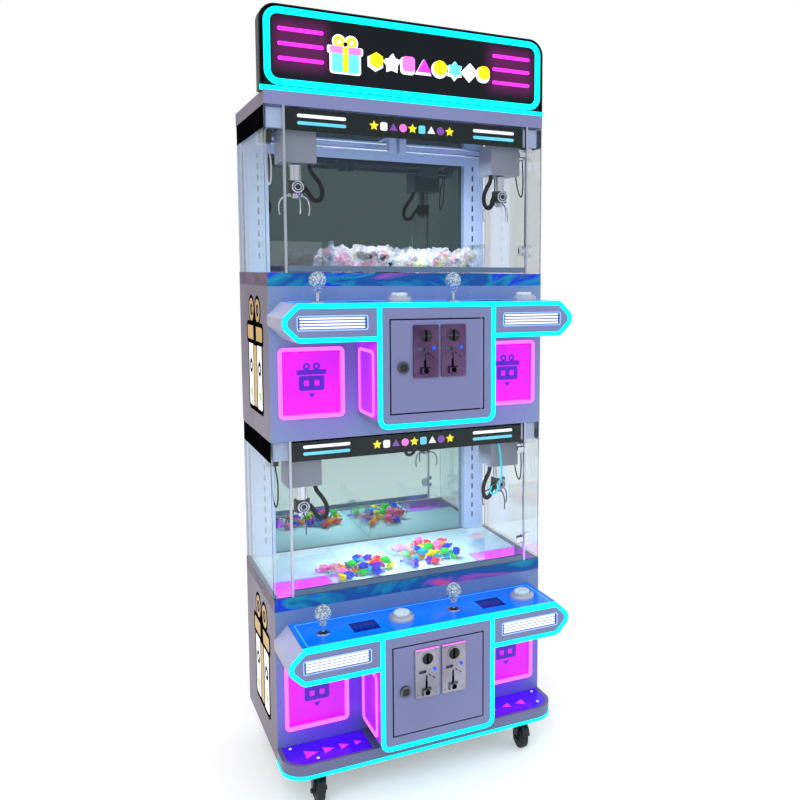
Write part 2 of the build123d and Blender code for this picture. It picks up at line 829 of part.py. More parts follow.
def glass_door(dz):
    """A frameless leaf with a rail along its foot and two hinge clamps."""
    low = deck_z + dz + 5
    high = ceiling_z + dz - 4
    pieces = [
        block((-316, 315), (face_y, face_y + glass), (low + 14, high)),
        block((-316, 315), (face_y - 1.5, face_y + glass + 1.5), (low, low + 14)),
    ]
    for z in (deck_z + dz + 46, ceiling_z + dz - 91):
        pieces.append(knuckle((z + 11.3, z + 23.7), -22, 2.5 + fit))
        pieces.append(block((298, 315), (face_y + glass, face_y + glass + 2), (z + 4, z + 31)))
    return pieces


frames = []
panes = []
for tier, dz in tiers.items():
    frames += bay_frame(dz)
    panes += glass_panes(dz)
    save(f"{tier}_glass_door", *glass_door(dz))
    for side, sign in sides.items():
        low = prize_z + (prize_pitch if dz else 0)
        save(f"{tier}_{side}_prize_flap", prize_flap(sign * outlet_x, low))
save("bay_frames", *frames)
save("glass_panes", *panes)


# Light strips: outlines of the consoles, lamps, outlet frames, sign ring and bars, plinth edge
def console_face(points, corner):
    """The face inside a console outline, with the corners at its two far ends rounded."""
    with BuildSketch() as face:
        with BuildLine():
            Polyline(*points, close=True)
        make_face()
        far = console_w / 2 - console_chamfer - 2 * console_light_w
        fillet([corner_at for corner_at in face.vertices() if abs(corner_at.X) > far], corner)
    return face.sketch


def console_lights(dz):
    outer = console_outline(dz)
    top = console_z + console_h + dz
    with BuildPart() as ring:
        with BuildSketch(Plane.XZ.offset(-console_y)):
            add(console_face(outer, console_light_corner))
            inner = console_face(inset(outer, console_light_w), console_light_corner - console_light_w)
            add(inner, mode=Mode.SUBTRACT)
        extrude(amount=trim)
    pieces = [ring.part]
    tower = tower_w / 2
    lamp_z = console_z + console_h / 2 + dz
    for sign in sides.values():
        bar = (console_z + dz + console_light_w, top - console_light_w)
        across = span(sign, tower - console_light_w, tower)
        pieces.append(block(across, (console_y - trim, console_y), bar))
        behind = (console_y + sheet, console_y + sheet + 1)
        pieces.append(block(span(sign, 175, 333), behind, (lamp_z - 15, lamp_z + 15)))
        for step in (-10.5, -3.5, 3.5, 10.5):
            low, high = (sign * 254 - 75, lamp_z + step - 2.2), (sign * 254 + 75, lamp_z + step + 2.2)
            pieces.append(upright(console_y + 0.5, sheet - 0.5, low, high, corner=2.1))
        with BuildPart() as side_ring:
            with BuildSketch(Plane.YZ.offset(sign * tower if sign > 0 else -tower - trim)):
                with Locations(((face_y + console_y) / 2 + 4, (tower_z + console_z) / 2 + dz)):
                    RectangleRounded(118, 160, 14)
                    RectangleRounded(104, 146, 8, mode=Mode.SUBTRACT)
            extrude(amount=trim)
        pieces.append(side_ring.part)
    return pieces


def outlet_lights(low):
    rings = []
    for sign in sides.values():
        x = sign * outlet_x
        corners = ((x - outlet_w / 2, low), (x + outlet_w / 2, low + outlet_h))
        rings.append(upright(face_y - 5, 5, *corners, corner=13, inner=outlet_frame))
    return rings


def sign_lights():
    half = sign_w / 2
    low, high = (-half + 10, sign_z + 14), (half - 10, sign_z + sign_h - 8)
    pieces = [
        upright(sign_y - 2, 3, low, high, corner=sign_corner - 6, inner=sign_light_w),
        block((-half, half), (sign_y - 1, sign_y + 3), (sign_z, sign_z + sign_strip_h)),
    ]
    for sign in sides.values():
        for height in sign_light_heights:
            low = (sign * 275 - 54, sign_z + height - 4.5)
            high = (sign * 275 + 54, sign_z + height + 4.5)
            pieces.append(upright(sign_y - 1, 2, low, high, corner=4.4))
    return pieces


def plinth_light():
    """A glowing strip under the free edge of the plinth."""
    with BuildPart() as strip:
        add(plinth_outline(1.5, 61.5).moved(Location((0, 0, plinth_z))))
        extrude(amount=9)
        add(plinth_outline(-9, 51).moved(Location((0, 0, plinth_z))))
        extrude(amount=9, mode=Mode.SUBTRACT)
    return strip.part


save(
    "light_strips",
    *console_lights(0), *console_lights(tier_pitch),
    *outlet_lights(prize_z), *outlet_lights(prize_z + prize_pitch),
    *sign_lights(), plinth_light(),
)


# Electronics: power supply, control boards, cash boxes under the coin doors, and speakers
def electronics():
    pieces = []
    for tier, dz in tiers.items():
        floor = (plinth_z + plinth_h if not dz else ceiling_z) + sheet
        pieces.append(block((-60, 55), (back_y - 110, back_y - 20), (floor, floor + 50)))
        for x in (-120, 120):
            pieces.append(block((x - 45, x + 45), (back_y - 40, back_y - 38), (floor + 80, floor + 200)))
            pieces.append(block((x - 30, x + 30), (back_y - 52, back_y - 40), (floor + 110, floor + 170)))
            pieces.append(rod(38, (x, face_y + 60, floor), (x, face_y + 60, floor + 34)))
        low, high = (-110, tower_z + 6 + dz), (100, tower_z + 46 + dz)
        box = upright(console_y + 20, 130, low, high, inner=2, corner=4)
        tray = block((-108, 98), (console_y + 20, console_y + 150), (tower_z + 4 + dz, tower_z + 6 + dz))
        pieces += [box, tray]
    return pieces


save("electronics", *electronics())


# Cranes: a bridge that runs on two rails, a carriage on its rods, and a claw that the carriage lowers
def bridge(sign, ceiling):
    rod_y = crane_y + rod_back
    rail_z = ceiling - rail_drop
    pieces = []
    for drop in rod_drops:
        ends = [(sign * x, rod_y, ceiling - drop) for x in (339, 23)]
        pieces.append(rod(4, *ends))
    for x in (348, 14):
        with BuildPart() as shoe:
            with Locations((sign * x, rod_y, ceiling - 52)):
                Box(18, 26, 48)
            with BuildSketch(Plane.XZ.offset(-rod_y - 13)):
                with Locations((sign * x, rail_z)):
                    Circle(5 + fit)
            extrude(amount=26, mode=Mode.SUBTRACT)
        pieces.append(shoe.part)
    motor = block(span(sign, 331, 357), (rod_y - 47, rod_y - 13), (ceiling - 76, ceiling - 46))
    return [*pieces, motor]


def carriage(x, ceiling):
    """Sheet box with the winch, the bushed block on the rods and the guide tube for the lift rod."""
    width, depth, height = box_size
    top = ceiling - box_top
    with BuildPart() as box:
        with Locations((x, crane_y, top - height / 2)):
            Box(width, depth, height)
            Box(width - 4, depth - 4, height - 4, mode=Mode.SUBTRACT)
        with Locations((x, crane_y, top)):
            Box(20, 20, 42, align=(Align.CENTER, Align.CENTER, Align.MIN))
        with BuildSketch(Plane.XY.offset(top - height)):
            with Locations((x, crane_y)):
                Circle(8)
        extrude(amount=height + 40, mode=Mode.SUBTRACT)
    guide = disc(8, (x, crane_y), (top - height - 2, top - height + 6), 3 + fit)
    rod_y = crane_y + rod_back
    with BuildPart() as shoe:
        with Locations((x, crane_y + depth / 2 + 11, ceiling - 61)):
            Box(60, 22, 32)
        with BuildSketch(Plane.YZ.offset(x - 30)):
            with Locations(*[(rod_y, ceiling - drop) for drop in rod_drops]):
                Circle(4 + fit)
        extrude(amount=60, mode=Mode.SUBTRACT)
    return [box.part, guide, shoe.part]


def radial_plane(x, ceiling, turn):
    """The upright plane through a claw's axis, its x axis pointing outwards at an angle from +X."""
    across = (cos(radians(turn)), sin(radians(turn)), 0)
    return Plane(origin=(x, crane_y, ceiling), x_dir=across, z_dir=(across[1], -across[0], 0))


def claw_head(x, ceiling):
    """Lift rod, solenoid with its black collar, hub, and three pairs of ears with their pins."""
    place = (x, crane_y)
    pieces = [
        disc(3, place, (ceiling - 128, ceiling - 9)),
        disc(17, place, (ceiling - 132, ceiling - 128)),
        disc(14, place, (ceiling - 166, ceiling - 132)),
        disc(20, place, (ceiling - 196, ceiling - 166)),
        disc(9, place, (ceiling - 208, ceiling - 196)),
    ]
    for turn in prong_turns:
        radial = radial_plane(x, ceiling, turn)
        with BuildPart() as ears:
            for offset_y in (-4.6, 2.3):
                with BuildSketch(radial.offset(offset_y)):
                    with Locations((pivot_r, -prong_drop)):
                        Rectangle(8, 8)
                extrude(amount=2.3)
            with BuildSketch(radial.offset(-2.3)):
                with Locations((pivot_r, -prong_drop)):
                    Circle(1.5)
            extrude(amount=4.6)
        pieces.append(ears.part)
    return pieces


def prong(x, ceiling, turn):
    """A curved chrome finger with an eye that turns on the pin between two ears."""
    radial = radial_plane(x, ceiling, turn)
    start = (pivot_r + 2.6, -prong_drop)
    elbow = (start[0] + prong_bend, start[1] - prong_bend)
    middle = (start[0] + prong_bend / sqrt(2), elbow[1] + prong_bend / sqrt(2))
    low = (elbow[0], elbow[1] - 8)
    tips = [(low[0] - 30 + 30 * cos(radians(a)), low[1] - 30 * sin(radians(a))) for a in (13, 26)]
    with BuildPart() as finger:
        with BuildLine(radial):
            ThreePointArc(start, middle, elbow)
            Line(elbow, low)
            ThreePointArc(low, *tips)
        with BuildSketch(Plane(origin=radial.from_local_coords((*start, 0)), z_dir=radial.x_dir)):
            Circle(1.7)
        sweep()
        with BuildSketch(radial.offset(-2)):
            with Locations((pivot_r, -prong_drop)):
                Circle(3.8)
        extrude(amount=4)
        with BuildSketch(radial.offset(-2)):
            with Locations((pivot_r, -prong_drop)):
                Circle(1.5 + fit)
        extrude(amount=4, mode=Mode.SUBTRACT)
    return finger.part


for tier, dz in tiers.items():
    for side, sign in sides.items():
        ceiling = ceiling_z + dz
        name = f"{tier}_{side}"
        save(f"{name}_crane_bridge", *bridge(sign, ceiling))
        save(f"{name}_crane_carriage", *carriage(sign * crane_x, ceiling))
        save(f"{name}_claw_head", *claw_head(sign * crane_x, ceiling))
        for letter, turn in zip("abc", prong_turns):
            save(f"{name}_claw_prong_{letter}", prong(sign * crane_x, ceiling, turn))
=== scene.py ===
import math
import random

import bmesh
import bpy
from mathutils import Matrix, Vector, noise


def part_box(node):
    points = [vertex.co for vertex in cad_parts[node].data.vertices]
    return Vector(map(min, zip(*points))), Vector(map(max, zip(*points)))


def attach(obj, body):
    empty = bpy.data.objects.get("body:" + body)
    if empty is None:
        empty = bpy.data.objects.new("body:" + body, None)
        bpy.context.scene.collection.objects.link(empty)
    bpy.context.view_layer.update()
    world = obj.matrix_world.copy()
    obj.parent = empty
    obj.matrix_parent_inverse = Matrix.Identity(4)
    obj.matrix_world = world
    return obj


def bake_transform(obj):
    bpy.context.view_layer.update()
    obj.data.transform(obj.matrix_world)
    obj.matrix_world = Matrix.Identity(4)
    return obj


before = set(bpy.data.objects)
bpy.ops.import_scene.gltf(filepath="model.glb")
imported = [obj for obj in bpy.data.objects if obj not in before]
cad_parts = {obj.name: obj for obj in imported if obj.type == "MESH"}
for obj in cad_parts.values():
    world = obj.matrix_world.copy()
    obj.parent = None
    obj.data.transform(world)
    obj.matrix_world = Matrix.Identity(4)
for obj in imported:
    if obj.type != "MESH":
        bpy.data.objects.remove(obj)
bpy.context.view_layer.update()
random.seed(11)

# All lengths below are in millimetres, in the model's own frame, and are turned to metres when made.
MM = 0.001
pitch = round((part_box("upper_glass_door")[0].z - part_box("lower_glass_door")[0].z) / MM)
deck = round(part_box("lower_glass_door")[0].z / MM) - 5
ceiling = deck + 391
face = round(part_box("lower_cabinet")[0].y / MM)
front = face - 163
back = round(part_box("lower_cabinet")[1].y / MM) - 4
side_x = 365
console_top = 437
tiers = {"lower": 0, "upper": pitch}
sides = {"left": -1, "right": 1}
sticks = (-269, 70)
buttons = (-71, 268)
displays = (-167, 174)
mechs = (-32, 38.5)
mech_z = 321
lock_x = -88.7
lock_z = 284
control_y = face - 88
outlets = {"lower": 163, "upper": 948}
outlet_x = 265
lamp_x = 254
crane_x = 276
crane_y = face + 80
roof_low = 1690
roof_top = 1722
sign_bars = (1798, 1831.5, 1865)


def colour(code, alpha=1.0):
    """A colour written as sRGB hex, in the linear numbers that shaders take."""
    parts = [int(code[i : i + 2], 16) / 255 for i in (0, 2, 4)]
    return tuple(c / 12.92 if c <= 0.04045 else ((c + 0.055) / 1.055) ** 2.4 for c in parts) + (alpha,)


def add(tree, kind, inputs=None, **settings):
    """Put one shader node in a tree; an input is a value or another node's output."""
    made = tree.nodes.new(kind)
    for name, value in settings.items():
        setattr(made, name, value)
    for socket, value in (inputs or {}).items():
        if isinstance(value, bpy.types.NodeSocket):
            tree.links.new(value, made.inputs[socket])
        else:
            made.inputs[socket].default_value = value
    return made


def start(name, **values):
    """A new material with its plain values on the shader; spaces in socket names are written as _."""
    made = bpy.data.materials.new(name)
    made.use_nodes = True
    tree = made.node_tree
    shader = tree.nodes["Principled BSDF"]
    for socket, value in values.items():
        shader.inputs[socket.replace("_", " ")].default_value = value
    made.diffuse_color = values.get("Base_Color", (0.5, 0.5, 0.5, 1))
    return made, tree, shader


def place(tree):
    """Where a point lies on its object, in metres."""
    return add(tree, "ShaderNodeTexCoord").outputs["Object"]


def cloud(tree, size, detail):
    """Noise whose patches are so many millimetres across."""
    blobs = {"Vector": place(tree), "Scale": 1000 / size, "Detail": detail}
    return add(tree, "ShaderNodeTexNoise", blobs).outputs["Fac"]


def calc(tree, operation, *values, **settings):
    """One step of arithmetic in a shader."""
    return add(tree, "ShaderNodeMath", dict(enumerate(values)), operation=operation, **settings).outputs[0]


def shades(tree, amount, *stops):
    """A colour ramp through (position, colour) stops; the first two are its ends."""
    ramp = add(tree, "ShaderNodeValToRGB", {"Fac": amount})
    marks = ramp.color_ramp.elements
    for i, (position, code) in enumerate(stops):
        mark = marks[i] if i < 2 else marks.new(position)
        mark.position = position
        mark.color = colour(code)
    return ramp.outputs["Color"]


def dent(tree, shader, height, depth, strength):
    """A bump so many millimetres deep, from a texture's output."""
    bump = add(tree, "ShaderNodeBump", {"Height": height, "Distance": depth * MM, "Strength": strength})
    tree.links.new(bump.outputs["Normal"], shader.inputs["Normal"])


def rough_skin(tree, shader, grain, depth, strength=0.3):
    """A fine bump whose grains are so many millimetres apart and so many deep."""
    dent(tree, shader, cloud(tree, grain, 2.0), depth, strength)


def worn(tree, shader, low, high, size):
    """Roughness that wanders between two values in patches so many millimetres across."""
    spread = add(tree, "ShaderNodeMapRange", {
        "Value": cloud(tree, size, 4.0), "From Min": 0.3, "From Max": 0.7, "To Min": low, "To Max": high})
    tree.links.new(spread.outputs["Result"], shader.inputs["Roughness"])


def mottled(tree, shader, pale, dark, size):
    """Base colour that drifts between two close shades."""
    shade = shades(tree, cloud(tree, size, 3.0), (0.35, dark), (0.65, pale))
    tree.links.new(shade, shader.inputs["Base Color"])
    return shade


def powder_coat(name, pale, dark, roughness=0.32, peel=0.02, shine=0.5):
    """Powder coat on sheet steel: baked, satin, with a faint orange peel about 1.5 mm across."""
    made, tree, shader = start(name, Base_Color=colour(pale), IOR=1.5, Specular_IOR_Level=shine)
    mottled(tree, shader, pale, dark, 400)
    worn(tree, shader, roughness - 0.03, roughness + 0.04, 150)
    rough_skin(tree, shader, 1.5, peel, 0.1)
    return made


def lit_fascia(name, near, far):
    """The same coat on the fascia panels, with the violet light of the prize doors painted into the base
    colour around them.
    """
    made, tree, shader = start(name, IOR=1.5)
    at = add(tree, "ShaderNodeSeparateXYZ", {"Vector": place(tree)})
    # Middles of the painted violet glow, one per prize door, repeated every tier
    glow_x, glow_z, glow_pitch = 0.235, 0.235, 0.785
    off_x = calc(tree, "SUBTRACT", calc(tree, "ABSOLUTE", at.outputs["X"]), glow_x)
    off_z = calc(tree, "SUBTRACT", calc(tree, "MODULO", at.outputs["Z"], glow_pitch), glow_z)
    square = calc(tree, "ADD", calc(tree, "POWER", off_x, 2.0), calc(tree, "POWER", off_z, 2.0))
    shade = shades(tree, calc(tree, "SQRT", square), (0.05, near), (0.19, far))
    tree.links.new(shade, shader.inputs["Base Color"])
    worn(tree, shader, 0.24, 0.32, 150)
    rough_skin(tree, shader, 1.5, 0.02, 0.1)
    return made


def neon(name, code, strength):
    """Neon flex: an extruded silicone tube over LEDs, even and soft along its length."""
    glow = colour(code)
    made, tree, shader = start(
        name, Base_Color=tuple(c * 0.25 for c in glow[:3]) + (1.0,), Roughness=0.45,
        Emission_Color=glow, Emission_Strength=strength, Specular_IOR_Level=0.15)
    rough_skin(tree, shader, 2.0, 0.03, 0.15)
    return made


def glass(name, tint, least, most):
    """Float glass: only the share of light that its polished surface reflects is opaque."""
    made, tree, shader = start(name, Base_Color=colour(tint), Metallic=1.0, Roughness=0.02)
    shine = add(tree, "ShaderNodeFresnel", {"IOR": 1.5})
    share = calc(tree, "MULTIPLY_ADD", shine.outputs[0], most, least, use_clamp=True)
    tree.links.new(share, shader.inputs["Alpha"])
    return made


def mirror(name, code):
    """Silvered glass, slightly green, with a trace of dust that softens it."""
    made, tree, shader = start(name, Base_Color=colour(code), Metallic=1.0)
    worn(tree, shader, 0.015, 0.05, 120)
    return made


def polished_metal(name, code, low=0.06, high=0.16, metallic=1.0):
    """Chrome plate or polished zinc: bright, with smudges 20 mm across."""
    made, tree, shader = start(name, Base_Color=colour(code), Metallic=metallic)
    worn(tree, shader, low, high, 20)
    return made


def die_cast(name, pale, dark):
    """Zinc die-casting, tumbled and plated: smooth and satin, its shade drifting slowly."""
    made, tree, shader = start(name, Metallic=0.9)
    mottled(tree, shader, pale, dark, 90)
    worn(tree, shader, 0.24, 0.3, 40)
    return made


def brushed(name, code):
    """Brushed aluminium: fine lines along Z, a millimetre apart so that they show."""
    made, tree, shader = start(name, Base_Color=colour(code), Metallic=1.0)
    stretch = add(tree, "ShaderNodeMapping", {"Vector": place(tree), "Scale": (1.0, 1.0, 0.02)})
    lines = add(tree, "ShaderNodeTexNoise", {"Vector": stretch.outputs[0], "Scale": 900.0, "Detail": 2.0})
    spread = add(tree, "ShaderNodeMapRange", {"Value": lines.outputs["Fac"], "To Min": 0.22, "To Max": 0.42})
    tree.links.new(spread.outputs["Result"], shader.inputs["Roughness"])
    return made


def moulded(name, pale, dark, roughness=0.35, size=12):
    """Injection-moulded plastic with a fine spark-eroded grain."""
    made, tree, shader = start(name, IOR=1.49)
    mottled(tree, shader, pale, dark, size)
    worn(tree, shader, roughness - 0.05, roughness + 0.08, 18)
    rough_skin(tree, shader, 0.8, 0.03, 0.25)
    return made


def glitter_film(name):
    """Black vinyl with metal flakes about a millimetre across."""
    made, tree, shader = start(name, Roughness=0.4, Specular_IOR_Level=0.0)
    flakes = add(tree, "ShaderNodeTexVoronoi", {"Vector": place(tree), "Scale": 620.0})
    shade = shades(tree, flakes.outputs["Color"], (0.72, "070C0E"), (0.98, "2E3E3A"))
    tree.links.new(shade, shader.inputs["Base Color"])
    return made


def hologram_film(name, ends, between):
    """Rainbow film with diagonal drifts of colour, about 120 mm from one hue to the next."""
    made, tree, shader = start(name, Roughness=0.3, Specular_IOR_Level=0.08)
    lean = add(tree, "ShaderNodeMapping", {
        "Vector": place(tree), "Scale": (3.2, 3.2, 9.0), "Rotation": (0.0, 0.5, 0.0)})
    drift = add(tree, "ShaderNodeTexNoise", {
        "Vector": lean.outputs[0], "Scale": 1.3, "Detail": 3.0, "Distortion": 1.2})
    middle = [(0.36 + 0.065 * i, code) for i, code in enumerate(between)]
    shade = shades(tree, drift.outputs["Fac"], (0.28, ends[0]), (0.78, ends[1]), *middle)
    tree.links.new(shade, shader.inputs["Base Color"])
    return made


def printed_sheet(name, pale, dark, roughness, glow=0.0):
    """Back-printed polycarbonate sheet, glossy; when glow is given, its own colour also shines out as a
    painted glow.
    """
    made, tree, shader = start(name, IOR=1.58, Roughness=roughness, Specular_IOR_Level=0.35)
    shade = mottled(tree, shader, pale, dark, 160)
    if glow:
        tree.links.new(shade, shader.inputs["Emission Color"])
        shader.inputs["Emission Strength"].default_value = glow
    return made


def lit_sign_sheet(name):
    """Gloss black acrylic; the light of the magenta tubes in front of its two ends is painted on it as a
    soft glow.
    """
    made, tree, shader = start(name, IOR=1.49, Roughness=0.07, Specular_IOR_Level=0.22)
    mottled(tree, shader, "0A121A", "060A10", 300)
    at = add(tree, "ShaderNodeSeparateXYZ", {"Vector": place(tree)})
    tubes_x, tubes_z = 0.275, 1.8315

    def nearness(axis, middle, full, none):
        off = calc(tree, "ABSOLUTE", calc(tree, "SUBTRACT", axis, middle))
        limits = {"Value": off, "From Min": full, "From Max": none, "To Min": 1.0, "To Max": 0.0}
        return add(tree, "ShaderNodeMapRange", limits, interpolation_type="SMOOTHSTEP").outputs["Result"]

    near_x = nearness(calc(tree, "ABSOLUTE", at.outputs["X"]), tubes_x, 0.04, 0.085)
    near_z = nearness(at.outputs["Z"], tubes_z, 0.035, 0.075)
    lit = {"Factor": calc(tree, "MULTIPLY", near_x, near_z), "A": colour("000000"), "B": colour("7A1868")}
    glow = add(tree, "ShaderNodeMix", lit, data_type="RGBA")
    tree.links.new(glow.outputs["Result"], shader.inputs["Emission Color"])
    shader.inputs["Emission Strength"].default_value = 0.6
    return made


def dull_black(name, pale, dark, roughness):
    """Black ink or vinyl: what shines off it is faint and broad."""
    made, tree, shader = start(name, Specular_IOR_Level=0.0)
    mottled(tree, shader, pale, dark, 30)
    worn(tree, shader, roughness - 0.05, roughness + 0.05, 40)
    return made


def bubbled_acrylic(name):
    """Cast clear acrylic full of bubbles 4 mm across; the light they catch is painted as pale spots fading
    to darker rims.
    """
    made, tree, shader = start(name, IOR=1.49, Roughness=0.08, Alpha=0.86)
    cells = add(tree, "ShaderNodeTexVoronoi", {"Vector": place(tree), "Scale": 210.0}).outputs["Distance"]
    tree.links.new(shades(tree, cells, (0.05, "F6FBFF"), (0.7, "6E8CA8")), shader.inputs["Base Color"])
    dent(tree, shader, cells, 1.2, 0.9)
    return made


def sugar_gem(name, code):
    """Clear coloured polystyrene, moulded in facets; the light shining through it from the deck is painted
    on as a faint glow in its own colour.
    """
    made, tree, shader = start(
        name, Base_Color=colour(code), IOR=1.59, Roughness=0.12, Transmission_Weight=0.25,
        Emission_Color=colour(code), Emission_Strength=0.12)
    rough_skin(tree, shader, 2.5, 0.2, 0.3)
    return made


def crinkled_film(name, code, alpha):
    """Cellophane: thin, clear and creased every few millimetres."""
    made, tree, shader = start(name, Base_Color=colour(code), IOR=1.5, Roughness=0.12, Alpha=alpha)
    creases = add(
        tree, "ShaderNodeTexVoronoi", {"Vector": place(tree), "Scale": 140.0}, feature="DISTANCE_TO_EDGE")
    dent(tree, shader, creases.outputs["Distance"], 3, 0.9)
    return made


side_coat = powder_coat("mauve_powder_coat", "685B70", "605368", 0.3, 0.003, 0.2)
door_coat = powder_coat("lavender_powder_coat", "767DA8", "7076A2", 0.36)
frame_coat = powder_coat("slate_powder_coat", "686E94", "62688C", 0.36)
end_coat = powder_coat("silver_powder_coat", "A19DB4", "908DA4", 0.3)
# A paler copy of the silver coat for the upward chamfers at the console ends: painted highlight
shoulder_painted_highlight = powder_coat("silver_coat_painted_highlight", "C0C6EC", "B2B8E0", 0.3)
roof_coat = powder_coat("roof_powder_coat", "7C82B0", "747AA6", 0.34)
fascia_coats_painted_glow = {
    "lower": lit_fascia("lower_fascia_painted_glow", "7E40F0", "6C88B4"),
    "middle": lit_fascia("middle_fascia_painted_glow", "8078C4", "7890B8"),
}
post_enamel = powder_coat("pale_blue_enamel", "C2D6F8", "AFC6F0", 0.28)
box_coat = powder_coat("crane_box_grey", "8E94A4", "868C9C", 0.3)
black_coat = powder_coat("black_e_coat", "15161B", "0C0D10", 0.4)
cyan_neon = neon("cyan_neon_flex", "00FBFF", 1.5)
magenta_neon = neon("magenta_neon_flex", "FF30E8", 1.5)
# Pink neon flex, also used for a painted pink highlight on the lower coin mechanisms
pink_neon_and_painted_glow = neon("pink_neon_flex", "FF78F4", 1.15)
white_neon = neon("white_led_tube", "F4FAFF", 1.05)
blue_led = neon("blue_led_lens", "1F5BFF", 1.2)
bay_glass = glass("tempered_glass", "E4F4F8", 0.0, 0.5)
guard_acrylic = glass("clear_acrylic_sheet", "F4FBFF", 0.05, 0.35)
mirrors = {"lower": mirror("silvered_mirror", "A6BCB8"), "upper": mirror("smoked_mirror", "4C5E5C")}
chrome = polished_metal("chrome_plate", "D4D8E0")
steel_rod = polished_metal("ground_steel_rod", "DCE4F0", 0.12, 0.24)
smoked_chrome = polished_metal("smoked_chrome", "5E626C", 0.08, 0.18)
silver_abs = polished_metal("silvered_abs", "C2C8D6", 0.18, 0.3, 0.55)
zinc = die_cast("zinc_die_casting", "A09EAA", "84828E")
rail_coat = powder_coat("blue_grey_rail_coat", "60778A", "587082", 0.3)
violet_zinc = die_cast("violet_chromed_zinc", "745A80", "543C5E")
mech_metals = {"lower": zinc, "upper": violet_zinc}
aluminium = brushed("brushed_aluminium", "C4C8D4")
# Black moulded parts, and black painted shade inside the coin mechanisms' recesses
black_abs_and_painted_shade = moulded("black_abs_and_painted_shade", "17181C", "0D0E11", 0.4)
tyre_rubber = moulded("moulded_rubber", "1B1B1E", "101012", 0.6)
white_abs = moulded("white_abs", "E4E9F0", "CDD5DF", 0.25)
grey_abs = moulded("grey_abs", "7D8794", "69727E", 0.35)
green_board = moulded("solder_resist", "1D5A3A", "174A30", 0.4)
cap_acrylic = moulded("frosted_acrylic", "E8F2FA", "BFD0DC", 0.12, 4)
gloss_black = lit_sign_sheet("gloss_black_acrylic")
glitter = glitter_film("glitter_vinyl")
rainbow = hologram_film(
    "rainbow_film", ("E8568C", "7E4FC0"), ("8A5AB8", "2A5C9C", "1F5A9C", "2494B0", "2438D8", "2C62A4"))
# A darker copy of the rainbow film for the side faces of the rim: painted shade
rainbow_painted_shade = hologram_film(
    "dark_rainbow_film", ("8C4470", "70503C"), ("5A3C78", "3A2C50", "2C2440", "4A3058", "6C3C58", "3C3048"))
blue_print = printed_sheet("blue_printed_sheet", "0478F8", "026CEC", 0.16, 0.3)
blue_line = printed_sheet("deep_blue_ink", "0450C8", "0348B8", 0.2, 0.1)
violet_print = printed_sheet("violet_printed_sheet", "5008F0", "3A06D8", 0.2, 0.3)
magenta_panel = printed_sheet("magenta_printed_sheet", "C414F0", "A828F0", 0.2, 0.4)
prize_acrylic = printed_sheet("magenta_acrylic", "D400E4", "BC00D0", 0.2, 0.6)
# The chute walls and skirts get a strong painted glow
chute_acrylic_painted_glow = printed_sheet("orchid_acrylic_painted_glow", "CC5CFF", "B848F0", 0.2, 0.9)
# The deck laminate gets a faint painted glow
deck_laminate_painted_glow = printed_sheet("deck_laminate_painted_glow", "C8E6F0", "B6DCE8", 0.45, 0.1)
display_glass = printed_sheet("display_glass", "0A1C8C", "081470", 0.06, 0.12)
lamp_back = printed_sheet("lamp_reflector", "2A48A8", "2440A0", 0.3, 0.15)
bezel_light = printed_sheet("lamp_bezel", "9CC4FF", "88B4F8", 0.3, 0.3)
# These inks also shine with a painted glow of their own colour
yellow_ink, white_ink, pink_ink, magenta_ink, aqua_ink = (
    printed_sheet(f"{label}_ink", pale, dark, 0.25, 0.45)
    for label, pale, dark in (
        ("yellow", "FFF200", "FFE800"), ("white", "FFFFFF", "F4F4FA"), ("pink", "FF80E4", "F86CD8"),
        ("magenta", "E83CFF", "D830F0"), ("aqua", "6CD8F0", "58CCE8"),
    )
)
purple_ink = printed_sheet("purple_ink", "9A4CC8", "8840B8", 0.3, 0.15)
violet_ink = printed_sheet("violet_ink", "5A10C8", "4C0CB4", 0.3, 0.1)
# Black print, and black painted shade in the coin mechanisms
black_ink_and_painted_shade = dull_black("black_ink_and_painted_shade", "0A0A0C", "050506", 0.3)
# The dark disc round each coin slot: painted shade
slot_disc_painted_shade = dull_black("dark_disc_painted_shade", "3A3B40", "2A2B30", 0.3)
gold_ink = printed_sheet("gold_ink", "E0B020", "C8981C", 0.3)
green_ink = printed_sheet("green_ink", "B8DC50", "A8CC44", 0.3)
knob_acrylic = bubbled_acrylic("bubbled_acrylic")


def finish(name, base, *patches):
    """Give a CAD node one material, and others to the faces whose middles lie in a box of
    (low, high) pairs in millimetres; later boxes win."""
    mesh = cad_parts[name].data
    mesh.materials.clear()
    mesh.materials.append(base)
    order = [base]
    middles = [poly.center / MM for poly in mesh.polygons]
    chosen = [0] * len(middles)
    for material, box in patches:
        if material not in order:
            order.append(material)
            mesh.materials.append(material)
        index = order.index(material)
        (x0, x1), (y0, y1), (z0, z1) = box
        for i, at in enumerate(middles):
            if x0 <= at.x <= x1 and y0 <= at.y <= y1 and z0 <= at.z <= z1:
                chosen[i] = index
    mesh.polygons.foreach_set("material_index", chosen)
    mesh.update()


wide = (-400, 400)
deep = (-300, 300)
tall = (0, 2000)
left_skin = (-side_x - 1, -side_x + 0.5)
right_skin = (side_x - 0.5, side_x + 1)


def around(x, reach):
    return (x - reach, x + reach)


